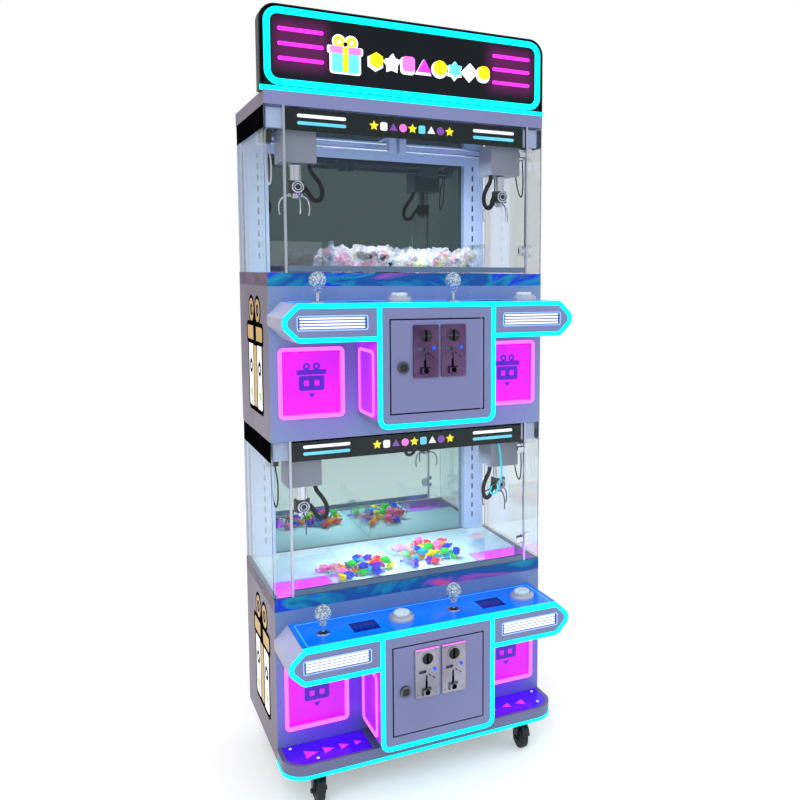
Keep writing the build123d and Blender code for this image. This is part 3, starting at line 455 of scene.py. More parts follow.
# Body panels
for tier, dz, low in (("lower", 0, 88), ("middle", pitch, 894)):
    rim = (473.5 + dz, 505.5 + dz)
    finish(
        f"{tier}_cabinet", side_coat,
        # The fascia faces take the coat with the painted violet glow
        (fascia_coats_painted_glow[tier], (wide, (face - 1, face + 3.2), (low - 1, 473.4 + dz))),
        (rainbow, (wide, (face - 1, face + 0.5), rim)),
        # Side faces of the rim: the darker film copy, painted shade
        (rainbow_painted_shade, (left_skin, deep, rim)),
        (rainbow_painted_shade, (right_skin, deep, rim)),
        (rail_coat, (wide, deep, (504.5 + dz, 506 + dz))),
        (chrome, (wide, (face + 3.1, face + 10), (low, low + 260))),
    )
finish(
    "roof_and_sign", roof_coat,
    (black_coat, (wide, deep, (roof_top - 0.1, 2000))),
    (gloss_black, (wide, (face + 8, face + 10), (roof_top + 8, 1920))),
    (post_enamel, ((-352, 352), (face + 12.5, back - 12.5), (roof_low, roof_low + 4))),
    (side_coat, (left_skin, deep, (roof_low, roof_top))),
    (side_coat, (right_skin, deep, (roof_low, roof_top))),
)
finish(
    "base_plinth", frame_coat,
    (black_coat, (wide, deep, (0, 91.5))),
    (black_coat, (wide, (face + 2, 300), (0, 92))),
)

# Consoles: lavender plates, blue tops, magenta tower sides, silvered button rings, chrome collars
console_patches = []
for dz in tiers.values():
    top = console_top + dz
    for sign in sides.values():
        console_patches += [
            (end_coat, (around(sign * 351, 18), (front + 1, face), (349 + dz, top))),
            # Upper chamfer of each end: painted highlight
            (shoulder_painted_highlight, (around(sign * 351, 17), (front + 1, face), (top - 32, top - 1))),
            (magenta_panel, (around(sign * 151, 0.5), (front + 2, face), (150 + dz, 349 + dz))),
        ]
    console_patches.append((blue_print, ((-334, 334), (front + 1, face), (top - 0.5, top + 0.2))))
    for x in buttons:
        ring = around(x, 34), around(control_y, 34), (top + 0.3, top + 16)
        stem = around(x, 23), around(control_y, 23), (top - 60, top - 0.6)
        console_patches += [(silver_abs, ring), (black_abs_and_painted_shade, stem)]
    for x in sticks:
        collar = around(x, 18), around(control_y, 18), (top + 0.3, top + 4)
        well = around(x, 26), around(control_y, 20), (top - 60, top - 3.2)
        console_patches += [(chrome, collar), (black_coat, well)]
    for x in displays:
        screen = around(x, 33.5), around(control_y, 29.5), (top - 3.5, top - 0.6)
        console_patches.append((display_glass, screen))
    console_patches.append((chrome, ((108, 126), (front + 3.1, front + 10), (160 + dz, 410 + dz))))
finish("control_consoles", door_coat, *console_patches)

# Light strips
strip_patches = []
for tier, dz in tiers.items():
    for sign in sides.values():
        tower_x = tuple(sorted((sign * 150.5, sign * 155)))
        lamp_z = (370 + dz, 416 + dz)
        outlet_z = (outlets[tier] - 2, outlets[tier] + 178)
        strip_patches += [
            (pink_neon_and_painted_glow, (tower_x, (front + 4, face), (150 + dz, 348 + dz))),
            (white_neon, (around(sign * lamp_x, 78), (front + 0.3, front + 3.1), lamp_z)),
            (lamp_back, (around(sign * lamp_x, 82), (front + 2.95, front + 4.2), lamp_z)),
            (pink_neon_and_painted_glow, (around(sign * outlet_x, 84), (face - 6, face + 1), outlet_z)),
        ]
for z in sign_bars:
    for sign in sides.values():
        strip_patches.append((magenta_neon, (around(sign * 275, 56), (face, face + 12), around(z, 6))))
finish("light_strips", cyan_neon, *strip_patches)

# Bays: posts, header boards, foot rails, rods, mirrors, chute guards and chute walls
frame_patches = []
pane_patches = []
deck_patches = []
for tier, dz in tiers.items():
    top = ceiling + dz
    bay = (deck + dz, top)
    frame_patches += [
        (glitter, ((-314, 314), (face + 11.5, face + 15.5), (top - 55, top - 1))),
        (side_coat, (wide, (back - 0.5, back + 1), bay)),
        (aluminium, (around(319.5, 3.5), (face - 0.5, face + 9), bay)),
        (aluminium, (around(-319.5, 3.5), (face - 0.5, face + 9), bay)),
        (chrome, ((300, 336), (face - 9, face - 0.1), bay)),
    ]
    for x in (-348, -14, 14, 348):
        frame_patches.append((steel_rod, (around(x, 6), (face + 30, face + 345), around(top - 36, 6))))
    guards = (-352.5, 352.5), (face + 13, face + 345), (deck - 1 + dz, deck + 96 + dz)
    pane_patches += [(mirrors[tier], (wide, (back - 8.5, back - 3.5), bay)), (guard_acrylic, guards)]
    low = outlets[tier] - 20
    for sign in sides.values():
        box_x = tuple(sorted((sign * 187, sign * 363)))
        deck_patches.append((chute_acrylic_painted_glow, (box_x, (face + 2, face + 139), (low, deck + dz - 0.5))))
finish("bay_frames", post_enamel, *frame_patches)
finish("glass_panes", bay_glass, *pane_patches)
finish("play_decks", deck_laminate_painted_glow, *deck_patches)
finish(
    "electronics", grey_abs,
    (green_board, (wide, (back - 53, back - 37), tall)),
    (black_abs_and_painted_shade, (wide, deep, (127, 162))),
    (aluminium, (wide, (front, face - 1), tall)),
)

# Casters
for side in sides:
    finish(f"front_{side}_caster_fork", black_coat)
    finish(f"front_{side}_caster_wheel", tyre_rubber)
    finish(f"rear_{side}_caster_wheel", tyre_rubber)

# Coin doors, glass doors, controls, prize flaps and cranes
for tier, dz in tiers.items():
    z = mech_z + dz
    patches = []
    cut = (front - 3.9, front + 5)
    for x in mechs:
        patches += [
            (mech_metals[tier], (around(x, 33), (front - 16, front - 0.02), around(z, 64))),
            (black_abs_and_painted_shade, (around(x, 25), (front + 3.1, front + 60), around(z, 56))),
            # Inner faces of three recesses in each coin mechanism: painted black as shade
            (black_abs_and_painted_shade, (around(x, 2.6), cut, around(z + 37, 15))),
            (black_abs_and_painted_shade, (around(x - 13, 10.5), cut, around(z + 5, 4.4))),
            (black_abs_and_painted_shade, (around(x - 3, 2.7), cut, around(z - 22, 17.5))),
        ]
    lock = lock_z + dz
    patches += [
        (smoked_chrome, (around(lock_x, 14.5), (front - 6, front - 0.1), around(lock, 14.5))),
        (black_abs_and_painted_shade, (around(lock_x, 8.6), (front - 6, front - 0.1), around(lock, 8.6))),
        (chrome, ((-130, -60), (front + 3.1, front + 30), around(lock, 16))),
        (chrome, (around(115, 3), (front + 2.9, front + 9), tall)),
    ]
    finish(f"{tier}_coin_door", door_coat, *patches)
    finish(
        f"{tier}_glass_door", bay_glass,
        (rail_coat, (wide, deep, (deck + dz, deck + 19.5 + dz))),
        (chrome, ((297, 330), (face - 9, face - 0.05), tall)),
        (chrome, ((297, 316), (face + 5.1, face + 8), tall)),
    )
    top = console_top + dz
    for side, x in zip(sides, sticks):
        finish(f"{tier}_{side}_joystick_gimbal", black_coat)
        knob = around(x, 24), around(control_y, 24), (top + 21.9, top + 80)
        finish(f"{tier}_{side}_joystick", chrome, (knob_acrylic, knob))
    for side in sides:
        finish(f"{tier}_{side}_button", cap_acrylic)
        finish(f"{tier}_{side}_prize_flap", prize_acrylic)
    roof = ceiling + dz
    for side, sign in sides.items():
        name = f"{tier}_{side}"
        x = sign * crane_x
        rods_x = tuple(sorted((sign * 24, sign * 338)))
        motor_x = tuple(sorted((sign * 330.5, sign * 358)))
        finish(
            f"{name}_crane_bridge", post_enamel,
            (steel_rod, (rods_x, around(crane_y + 51, 4.5), (roof - 75, roof - 45))),
            (black_abs_and_painted_shade, (motor_x, (crane_y, crane_y + 38.5), (roof - 77, roof - 45))),
        )
        finish(
            f"{name}_crane_carriage", box_coat,
            (white_abs, (around(x, 31), (crane_y + 40.1, crane_y + 64), tall)),
            (black_abs_and_painted_shade, (around(x, 9), around(crane_y, 9), (roof - 128, roof - 118))),
        )
        coil = around(x, 22), around(crane_y, 22), (roof - 196.2, roof - 165.8)
        finish(f"{name}_claw_head", chrome, (black_abs_and_painted_shade, coil))
        for letter in "abc":
            finish(f"{name}_claw_prong_{letter}", smoked_chrome if tier == "lower" else chrome)


# Planes that flat shapes are laid on, as (origin, across, up); across x up points outwards
def facing_front(y):
    return Vector((0, y, 0)), Vector((1, 0, 0)), Vector((0, 0, 1))


def facing_left(x):
    return Vector((x, 0, 0)), Vector((0, -1, 0)), Vector((0, 0, 1))


def facing_right(x):
    return Vector((x, 0, 0)), Vector((0, 1, 0)), Vector((0, 0, 1))


def facing_up(z):
    return Vector((0, 0, z)), Vector((1, 0, 0)), Vector((0, 1, 0))


def rounded(low, high, radius, steps=6):
    """A rectangle with round corners, anticlockwise."""
    points = []
    corners = ((high[0] - radius, high[1] - radius, 0), (low[0] + radius, high[1] - radius, 90),
               (low[0] + radius, low[1] + radius, 180), (high[0] - radius, low[1] + radius, 270))
    for x, y, begin in corners:
        for i in range(steps + 1):
            turn = math.radians(begin + 90 * i / steps)
            points.append((x + radius * math.cos(turn), y + radius * math.sin(turn)))
    return points


def oblong(low, high):
    return [low, (high[0], low[1]), high, (low[0], high[1])]


def round_shape(x, y, radius, steps=28):
    turns = [2 * math.pi * i / steps for i in range(steps)]
    return [(x + radius * math.cos(turn), y + radius * math.sin(turn)) for turn in turns]


def star(x, y, radius, points=5, waist=0.48, turn=90):
    """A star's outline; its inner corners lie at waist times the radius."""
    made = []
    for i in range(points * 2):
        reach = radius if i % 2 == 0 else radius * waist
        angle = math.radians(turn + 180 * i / points)
        made.append((x + reach * math.cos(angle), y + reach * math.sin(angle)))
    return made


def polygon(x, y, radius, count, turn=90):
    return star(x, y, radius, count, math.cos(math.pi / count), turn)[::2]


def grown(outline, amount):
    """The outline pushed outwards by about so much."""
    middle = Vector((sum(p[0] for p in outline) / len(outline), sum(p[1] for p in outline) / len(outline)))
    moved = []
    for p in outline:
        away = Vector(p) - middle
        moved.append(tuple(middle + away * (1 + amount / max(away.length, 1))))
    return moved


def linked(name, mesh, materials, smooth=False):
    """Turn a filled bmesh into an object in the scene."""
    data = bpy.data.meshes.new(name)
    mesh.to_mesh(data)
    mesh.free()
    for material in materials:
        data.materials.append(material)
    if smooth:
        data.polygons.foreach_set("use_smooth", [True] * len(data.polygons))
    made = bpy.data.objects.new(name, data)
    bpy.context.scene.collection.objects.link(made)
    return made


def flat_piece(name, body, plane, shapes, bevel=0.0):
    """One piece of flat shapes on a plane; each is (material, outline, low, high[, hole])."""
    origin, across, up = plane
    out = across.cross(up)
    mesh = bmesh.new()
    order = []
    for material, outline, low, high, *hole in shapes:
        if material not in order:
            order.append(material)
        index = order.index(material)

        def ring(points, level):
            return [mesh.verts.new((origin + across * p[0] + up * p[1] + out * level) * MM) for p in points]

        foot, head = ring(outline, low), ring(outline, high)
        count = len(outline)
        faces = []
        for i in range(count):
            j = (i + 1) % count
            faces.append(mesh.faces.new((foot[i], foot[j], head[j], head[i])))
        if hole:
            inner_foot, inner_head = ring(hole[0], low), ring(hole[0], high)
            for i in range(count):
                j = (i + 1) % count
                faces.append(mesh.faces.new((inner_foot[j], inner_foot[i], inner_head[i], inner_head[j])))
                faces.append(mesh.faces.new((head[i], head[j], inner_head[j], inner_head[i])))
                faces.append(mesh.faces.new((foot[j], foot[i], inner_foot[i], inner_foot[j])))
        else:
            faces.append(mesh.faces.new(head))
            faces.append(mesh.faces.new(foot[::-1]))
        for made in faces:
            made.material_index = index
    bmesh.ops.recalc_face_normals(mesh, faces=mesh.faces)
    piece = linked(name, mesh, order)
    if bevel:
        soft = piece.modifiers.new("soft_edges", "BEVEL")
        soft.width = bevel * MM
        soft.segments = 2
        soft.limit_method = "ANGLE"
    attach(piece, body)


def bar(x, y, length, width):
    """A rectangle with fully round ends."""
    return rounded((x - length / 2, y - width / 2), (x + length / 2, y + width / 2), width / 2 - 0.01, 5)


# Sign: a row of plain icons with white backing, and a gift box with a bow at its left
sign_front = facing_front(face + 8.6)
icons = []
icon_z = 1818
row = (
    (yellow_ink, polygon(-92, icon_z, 19, 6)),
    (white_ink, star(-50, icon_z, 21, 5, 0.55)),
    (pink_ink, rounded((-25, icon_z - 18), (7, icon_z + 18), 8)),
    (magenta_ink, polygon(32, icon_z - 5, 22, 3)),
    (yellow_ink, round_shape(75, icon_z, 18)),
    (aqua_ink, star(116, icon_z, 21, 6, 0.62)),
    (white_ink, polygon(157, icon_z, 20, 4)),
    (yellow_ink, rounded((180, icon_z - 17), (212, icon_z + 17), 14)),
)
for ink, outline in row:
    icons.append((white_ink, [(x - 2.5, z - 5) for x, z in grown(outline, 3.5)], 0.0, 1.6))
    icons.append((ink, outline, 0.0, 3.6))
gift = rounded((-202, 1780), (-136, 1826), 6)
lid = rounded((-207, 1824), (-131, 1840), 4)
icons += [
    (white_ink, grown(gift, 6), 0.0, 1.6),
    (white_ink, grown(lid, 6), 0.0, 1.6),
    (aqua_ink, gift, 0.0, 3.2),
    (yellow_ink, rounded((-176, 1781), (-162, 1825), 1), 0.0, 3.9),
    (pink_ink, lid, 0.0, 4.2),
    (yellow_ink, rounded((-176, 1825), (-162, 1839), 1), 0.0, 4.8),
    (white_ink, grown(round_shape(-184, 1851, 13), 4), 0.0, 1.6),
    (white_ink, grown(round_shape(-154, 1851, 13), 4), 0.0, 1.6),
    (yellow_ink, round_shape(-184, 1851, 13), 0.0, 3.4, round_shape(-184, 1851, 6)),
    (yellow_ink, round_shape(-154, 1851, 13), 0.0, 3.4, round_shape(-154, 1851, 6)),
    (black_ink_and_painted_shade, round_shape(-169, 1846, 5), 0.0, 4.4),
]
flat_piece("sign_icons", "cabinet", sign_front, icons, 0.4)

# Header boards: a white and an aqua bar at each end, plain shapes between them
header_inks = (
    yellow_ink, white_ink, purple_ink, pink_ink, yellow_ink, aqua_ink, white_ink, purple_ink, yellow_ink)
for tier, dz in tiers.items():
    z = ceiling + dz - 28
    shapes = []
    for sign in sides.values():
        shapes.append((white_neon, bar(sign * 227, z + 9, 118, 8), 0.0, 0.5))
        shapes.append((aqua_ink, bar(sign * 227, z - 8, 118, 8), 0.0, 0.5))
    for i, ink in enumerate(header_inks):
        x = -98 + 25 * i
        kinds = (
            star(x, z, 12.5), rounded((x - 9, z - 10), (x + 9, z + 10), 4), polygon(x, z - 2, 12, 3),
            round_shape(x, z, 10))
        shapes.append((ink, kinds[i % 4], 0.0, 0.5))
    flat_piece(f"{tier}_header_print", "cabinet", facing_front(face + 11.9), shapes)
    # Black film along the top and up the edges of the side panes
    low = deck + 2 + dz
    high = ceiling + dz
    for side, plane in (("left", facing_left(-side_x - 0.1)), ("right", facing_right(side_x + 0.1))):
        sign = sides[side]
        near, far = sorted((sign * (face + 5), sign * (back - 12)))
        film = [
            (black_ink_and_painted_shade, oblong((near, high - 52), (far, high - 1)), 0.0, 0.3),
            (black_ink_and_painted_shade, oblong((near, low), (near + 3, high - 52.1)), 0.0, 0.3),
            (black_ink_and_painted_shade, oblong((far - 3, low), (far, high - 52.1)), 0.0, 0.3),
        ]
        flat_piece(f"{tier}_{side}_edge_film", "cabinet", plane, film)


# Consoles: printed border, lit front edge, lamp bezels and digits
segment_boxes = (
    ((0, 0), (8, 1.6)), ((0, 8), (8, 9.6)), ((0, 16), (8, 17.6)),
    ((-0.6, 1.2), (1, 8.4)), ((7, 1.2), (8.6, 8.4)), ((-0.6, 9.2), (1, 16.4)), ((7, 9.2), (8.6, 16.4)),
)
for tier, dz in tiers.items():
    top = console_top + dz
    border = rounded((-322, front + 10), (322, face - 10), 6)
    inner = rounded((-320.4, front + 11.6), (320.4, face - 11.6), 5)
    line = [(aqua_ink, border, 0.05, 0.35, inner)]
    flat_piece(f"{tier}_console_border", "cabinet", facing_up(top), line)
    edge = [(cyan_neon, oblong((-335, front - 0.5), (335, front + 8)), -0.6, 0.5)]
    flat_piece(f"{tier}_console_edge_light", "cabinet", facing_up(top), edge, 0.3)
    shapes = []
    for sign in sides.values():
        x = sign * lamp_x
        outer = rounded((x - 82, 375.5 + dz), (x + 82, 410.5 + dz), 5)
        hole = rounded((x - 79, 378.2 + dz), (x + 79, 407.8 + dz), 4)
        shapes.append((bezel_light, outer, 0.05, 1.2, hole))
    flat_piece(f"{tier}_lamp_bezels", "cabinet", facing_front(front), shapes, 0.4)
    segments = []
    for x in displays:
        for k in range(4):
            left = x - 26 + 13.5 * k
            for low, high in segment_boxes:
                y = control_y - 9
                outline = oblong((left + low[0], y + low[1]), (left + high[0], y + high[1]))
                segments.append((blue_line, outline, 0.02, 0.3))
    flat_piece(f"{tier}_display_digits", "cabinet", facing_up(top - 1), segments)
    # Coin mechanisms: lens; a dark disc round the coin slot and a black slot, painted shade; the lever's
    # painted shadow; painted shade in the cup's mouth; a dark strip above the cup; and a painted pink
    # highlight along the top edge
    details = []
    z = mech_z + dz
    for x in mechs:
        details.append((blue_led, round_shape(x + 19, z + 8, 4.2, 20), 0.0, 2.2))
        # Dark disc round the coin slot: painted shade
        details.append((slot_disc_painted_shade, round_shape(x, z + 37, 14.2, 36), 0.0, 0.3))
        if tier == "upper":
            slit = rounded((x - 14, z + 35.4), (x + 14, z + 38.6), 1.2)
            details.append((mech_metals[tier], slit, 0.3, 0.7))
        # Black in the coin slot and in the cup's mouth: painted shade; the lever's painted shadow; a dark
        # strip above the cup
        details += [
            (black_ink_and_painted_shade, rounded((x - 2.3, z + 23.5), (x + 2.3, z + 50.5), 1.5), 0.3, 1.0),
            (black_ink_and_painted_shade, [(x + 2, z - 1), (x + 20, z - 15), (x + 15, z - 22), (x + 8, z - 14)], 0.0, 0.25),
            (black_ink_and_painted_shade, rounded((x - 9.5, z - 52), (x + 3.5, z - 40), 5), 8.9, 9.2),
            (black_ink_and_painted_shade, rounded((x - 6, z - 42), (x, z - 20), 1.5), 0.0, 0.2),
        ]
        if tier == "lower":
            # Pink along the mechanism's top edge: a painted highlight in the neon's material
            details.append((pink_neon_and_painted_glow, rounded((x - 31, z + 60.5), (x + 31, z + 63), 1), -2.6, 0.6))
    flat_piece(f"{tier}_mech_details", f"{tier}_coin_door", facing_front(front - 4), details, 0.3)

# Prize flaps: a gift symbol and a down arrow printed in violet
for tier, low in outlets.items():
    for side, sign in sides.items():
        x = sign * outlet_x
        z = low + 92
        box = rounded((x - 31, z - 24), (x + 31, z + 12), 5)
        marks = [
            (violet_ink, box, 0.0, 0.3, rounded((x - 19, z - 13), (x + 19, z + 1), 2)),
            (violet_ink, rounded((x - 36, z + 15), (x + 36, z + 27), 4), 0.0, 0.3),
            (violet_ink, rounded((x - 6.5, z - 14), (x + 6.5, z + 2), 1), 0.0, 0.3),
        ]
        for bow_x in (x - 12, x + 12):
            bow = round_shape(bow_x, z + 35, 9, 24)
            marks.append((violet_ink, bow, 0.0, 0.3, round_shape(bow_x, z + 35, 4, 24)))
        marks.append((violet_ink, [(x - 9, z - 31), (x, z - 42), (x + 9, z - 31)], 0.0, 0.3))
        flap = f"{tier}_{side}_prize_flap"
        flat_piece(f"{tier}_{side}_flap_print", flap, facing_front(face + 0.45), marks)

# Chute skirts: an angle of orchid acrylic with a painted glow, under the deck's edge, around each opening
for tier, dz in tiers.items():
    for side, sign in sides.items():
        skirt = [
            (sign * 203.5, face + 12.5), (sign * 203.5, face + 126.5), (sign * 351.5, face + 126.5),
            (sign * 351.5, face + 125.2), (sign * 204.8, face + 125.2), (sign * 204.8, face + 12.5),
        ]
        angle = [(chute_acrylic_painted_glow, skirt, -34, -4.3)]
        flat_piece(f"{tier}_{side}_chute_skirt", "cabinet", facing_up(deck + dz), angle)


# Plinth: violet inlay with pink arrowheads and round screws
def plinth_inlay():
    low = face - 108
    left = [(-153, low + 9), (-153, face - 2), (-356, face - 2), (-356, low + 58)]
    for i in range(1, 9):
        turn = math.radians(180 + 90 * i / 8)
        left.append((-307 + 49 * math.cos(turn), low + 58 + 49 * math.sin(turn)))
    right = [(-x, y) for x, y in reversed(left)]
    shapes = [(violet_print, left, 0.05, 0.7), (violet_print, right, 0.05, 0.7)]
    for x, size in ((-300, 22), (-256, 18), (-216, 16), (-180, 12)):
        shapes.append((magenta_ink, polygon(x, face - 58, size, 3, 0), 0.7, 1.0))
    for x, size in ((196, 13), (240, 15), (282, 17)):
        shapes.append((magenta_ink, polygon(x, face - 58, size, 3, 180), 0.7, 1.0))
    for x, y in ((-338, face - 16), (-286, low + 22), (338, face - 16), (326, low + 34)):
        shapes.append((white_ink, round_shape(x, y, 3.4, 16), 0.7, 1.8))
    return shapes


flat_piece("plinth_inlay", "cabinet", facing_up(124), plinth_inlay())


# Side decals: a gift box outlined in black, with a gold ribbon and bow, rings, a dot and a star
def decal(z, mirrored):
    """The same picture for either side; across is measured towards the front on the left side."""
    flip = -1 if mirrored else 1
    mid = -70

    def at(points):
        return [(flip * p[0], p[1]) for p in (points if flip > 0 else reversed(points))]

    def patch(low, high, radius):
        return at(rounded((mid + low[0], z + low[1]), (mid + high[0], z + high[1]), radius))

    def dot(x, y, radius):
        return at(round_shape(mid + x, z + y, radius))

    shapes = [
        (black_ink_and_painted_shade, patch((-94, -145), (94, 42), 14), 0.0, 0.25),
        (white_ink, patch((-82, -133), (82, 40), 8), 0.25, 0.4),
        (black_ink_and_painted_shade, patch((-106, 28), (106, 86), 14), 0.4, 0.5),
        (gold_ink, patch((-95, 39), (95, 75), 8), 0.5, 0.6),
        (black_ink_and_painted_shade, patch((-27, -133), (27, 28), 2), 0.4, 0.5),
        (gold_ink, patch((-18, -131), (18, 26), 2), 0.5, 0.6),
        (black_ink_and_painted_shade, patch((-18, 39), (18, 75), 2), 0.6, 0.7),
    ]
    for side in sides.values():
        shapes += [
            (black_ink_and_painted_shade, dot(side * 40, 116, 38), 0.0, 0.25, dot(side * 40, 116, 9)),
            (gold_ink, dot(side * 40, 116, 29), 0.25, 0.4, dot(side * 40, 116, 16)),
        ]
    shapes += [
        (black_ink_and_painted_shade, dot(0, 98, 18), 0.4, 0.5),
        (green_ink, dot(-55, -100, 15), 0.4, 0.5),
        (black_ink_and_painted_shade, dot(-55, -30, 19), 0.4, 0.5),
        (black_ink_and_painted_shade, dot(55, -30, 19), 0.4, 0.5),
        (green_ink, at(star(mid + 55, z - 98, 22)), 0.4, 0.5),
        (white_ink, dot(-55, -30, 8), 0.5, 0.6),
        (white_ink, dot(55, -30, 8), 0.5, 0.6),
    ]
    return shapes


for label, z in (("lower", 300), ("upper", 1090)):
    flat_piece(f"{label}_left_decal", "cabinet", facing_left(-side_x), decal(z, False))
    flat_piece(f"{label}_right_decal", "cabinet", facing_right(side_x), decal(z, True))


# Prizes: faceted gems in the lower bay, crinkled bags in the upper one
def merged(name, body, materials, build, smooth=False):
    """One piece from a function that fills a bmesh."""
    mesh = bmesh.new()
    build(mesh)
    piece = linked(name, mesh, materials, smooth)
    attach(piece, body)


gem_colours = {
    "blue": "1A3CE8", "violet": "5A1CD8", "green": "14D840", "aqua": "20B4E4",
    "yellow": "F4E010", "pink": "FF7AC8", "red": "F03858", "orange": "F49A10",
}
gem_spots = []
for pile_x, pile_y, spread_x, spread_y, count in ((-122, 20, 88, 84, 34), (92, 55, 76, 96, 40)):
    for _ in range(count):
        for _ in range(60):
            x = random.gauss(pile_x, spread_x * 0.52)
            y = random.gauss(pile_y, spread_y * 0.52)
            if abs(x - pile_x) > spread_x or abs(y - pile_y) > spread_y or abs(x) < 18:
                continue
            near = [s for s in gem_spots if math.hypot(s[0] - x, s[1] - y) < 17]
            if len(near) < 2:
                gem_spots.append((x, y, deck + 11 + 13 * len(near)))
                break


def gems(spots):
    """Faceted gems with a blunt cone at each end, as a function that fills a bmesh."""
    def build(mesh):
        for x, y, z in spots:
            size = random.uniform(0.95, 1.25)
            turn = Matrix.Rotation(random.uniform(0, 6.3), 4, "Z")
            lean = Matrix.Rotation(random.uniform(-0.4, 0.4), 4, "X")
            girth = Matrix.Diagonal((14 * size * MM, 11.5 * size * MM, 9.5 * size * MM, 1))
            where = Matrix.Translation(Vector((x, y, z)) * MM) @ (turn @ lean) @ girth
            body = bmesh.ops.create_icosphere(mesh, subdivisions=1, radius=1.0)["verts"]
            for vert in body:
                vert.co *= random.uniform(0.9, 1.08)
            bmesh.ops.transform(mesh, matrix=where, verts=body)
            for end in (-1, 1):
                tail = Matrix.Translation((1.18 * end, 0, 0)) @ Matrix.Rotation(-end * math.pi / 2, 4, "Y")
                made = bmesh.ops.create_cone(
                    mesh, segments=6, radius1=0.42, radius2=0.15, depth=0.4, cap_ends=True)
                bmesh.ops.transform(mesh, matrix=where @ tail, verts=made["verts"])
    return build


for i, (label, code) in enumerate(gem_colours.items()):
    polystyrene = sugar_gem(f"{label}_polystyrene", code)
    merged(f"gems_{label}", "cabinet", [polystyrene], gems(gem_spots[i::len(gem_colours)]))

bag_film = crinkled_film("clear_cellophane", "F2F6FF", 0.3)
sweet_inks = [
    moulded(f"{label}_sugar", pale, dark, 0.3)
    for label, pale, dark in (
        ("rose", "F88CC0", "F070B0"), ("lime", "E4EC58", "D0E040"), ("cocoa", "2A2024", "181014"),
        ("cherry", "F04060", "E03050"), ("milk", "FFFFFF", "F0F0F4"),
    )
]
bag_spots = []
for _ in range(64):
    for _ in range(80):
        x = random.uniform(-188, 190)
        y = random.uniform(-66, 205)
        if abs(x) < 27:
            continue
        close = [s for s in bag_spots if math.hypot(s[0] - x, s[1] - y) < 42]
        if len(close) < 3:
            bag_spots.append((x, y, deck + pitch + 19 + 14 * len(close)))
            break


def bag_shells(mesh):
    """Closed film bags, creased by noise and pinched at the top."""
    for n, (x, y, z) in enumerate(bag_spots):
        shell = bmesh.ops.create_icosphere(mesh, subdivisions=3, radius=1.0)["verts"]
        seed = Vector((n * 3.7, n * 1.3, 0))
        for vert in shell:
            crease = noise.noise(vert.co * 2.2 + seed) * 0.5 + noise.noise(vert.co * 5 + seed) * 0.28
            pinch = 1.0 + 0.55 * max(0.0, vert.co.z - 0.55)
            vert.co *= 1 + crease
            vert.co.z = max(vert.co.z * pinch, -0.85)
        turn = Matrix.Rotation(random.uniform(0, 6.3), 4, "Z")
        girth = Matrix.Diagonal((25 * MM, 20 * MM, 19 * MM, 1))
        where = Matrix.Translation(Vector((x, y, z)) * MM) @ turn @ girth
        bmesh.ops.transform(mesh, matrix=where, verts=shell)


def bag_sweets(mesh):
    """Four balls in each bag, in colours that change from bag to bag."""
    for n, (x, y, z) in enumerate(bag_spots):
        for k in range(4):
            shift = Vector((random.uniform(-12, 12), random.uniform(-10, 10), random.uniform(-9, 5)))
            before = set(mesh.faces)
            ball = bmesh.ops.create_icosphere(mesh, subdivisions=1, radius=10.5 * MM)["verts"]
            bmesh.ops.translate(mesh, verts=ball, vec=(Vector((x, y, z)) + shift) * MM)
            pick = (n * 7 + (k if n % 3 else 0)) % len(sweet_inks)
            for made in set(mesh.faces) - before:
                made.material_index = pick


merged("prize_bags", "cabinet", [bag_film], bag_shells)
merged("prize_sweets", "cabinet", sweet_inks, bag_sweets)


# Hoses and leads: smooth NURBS lines; the thick ones are ribbed tubes
tube_sides = 10


def tube(name, points, radius, material, body, to_body, rib=0.0):
    """A cord through given control points in millimetres, made as a tube along its line."""
    line = bpy.data.curves.new(name + "_line", "CURVE")
    line.dimensions = "3D"
    line.resolution_u = 14
    spline = line.splines.new("NURBS")
    spline.points.add(len(points) - 1)
    for point, where in zip(spline.points, points):
        point.co = (*(c * MM for c in where), 1)
    spline.order_u = 3
    spline.use_endpoint_u = True
    guide = bpy.data.objects.new(name + "_line", line)
    bpy.context.scene.collection.objects.link(guide)
    bpy.context.view_layer.update()
    path = [v.co.copy() for v in bpy.data.meshes.new_from_object(guide).vertices]
    bpy.data.objects.remove(guide)
    turns = [2 * math.pi * k / tube_sides for k in range(tube_sides)]
    rings = []
    mesh = bmesh.new()
    side = None
    for i, at in enumerate(path):
        ahead = (path[min(i + 1, len(path) - 1)] - path[max(i - 1, 0)]).normalized()
        side = (side - ahead * side.dot(ahead)).normalized() if side else ahead.orthogonal().normalized()
        other = ahead.cross(side)
        reach = radius * MM * (1 + rib * (1 if i % 2 else -1))
        spots = [at + side * reach * math.cos(turn) + other * reach * math.sin(turn) for turn in turns]
        rings.append([mesh.verts.new(spot) for spot in spots])
    for first, second in zip(rings, rings[1:]):
        for k in range(tube_sides):
            after = (k + 1) % tube_sides
            mesh.faces.new((first[k], first[after], second[after], second[k]))
    mesh.faces.new(rings[0][::-1])
    mesh.faces.new(rings[-1])
    bmesh.ops.recalc_face_normals(mesh, faces=mesh.faces)
    piece = linked(name, mesh, [material], True)
    if to_body:
        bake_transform(piece)
    else:
        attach(piece, body)


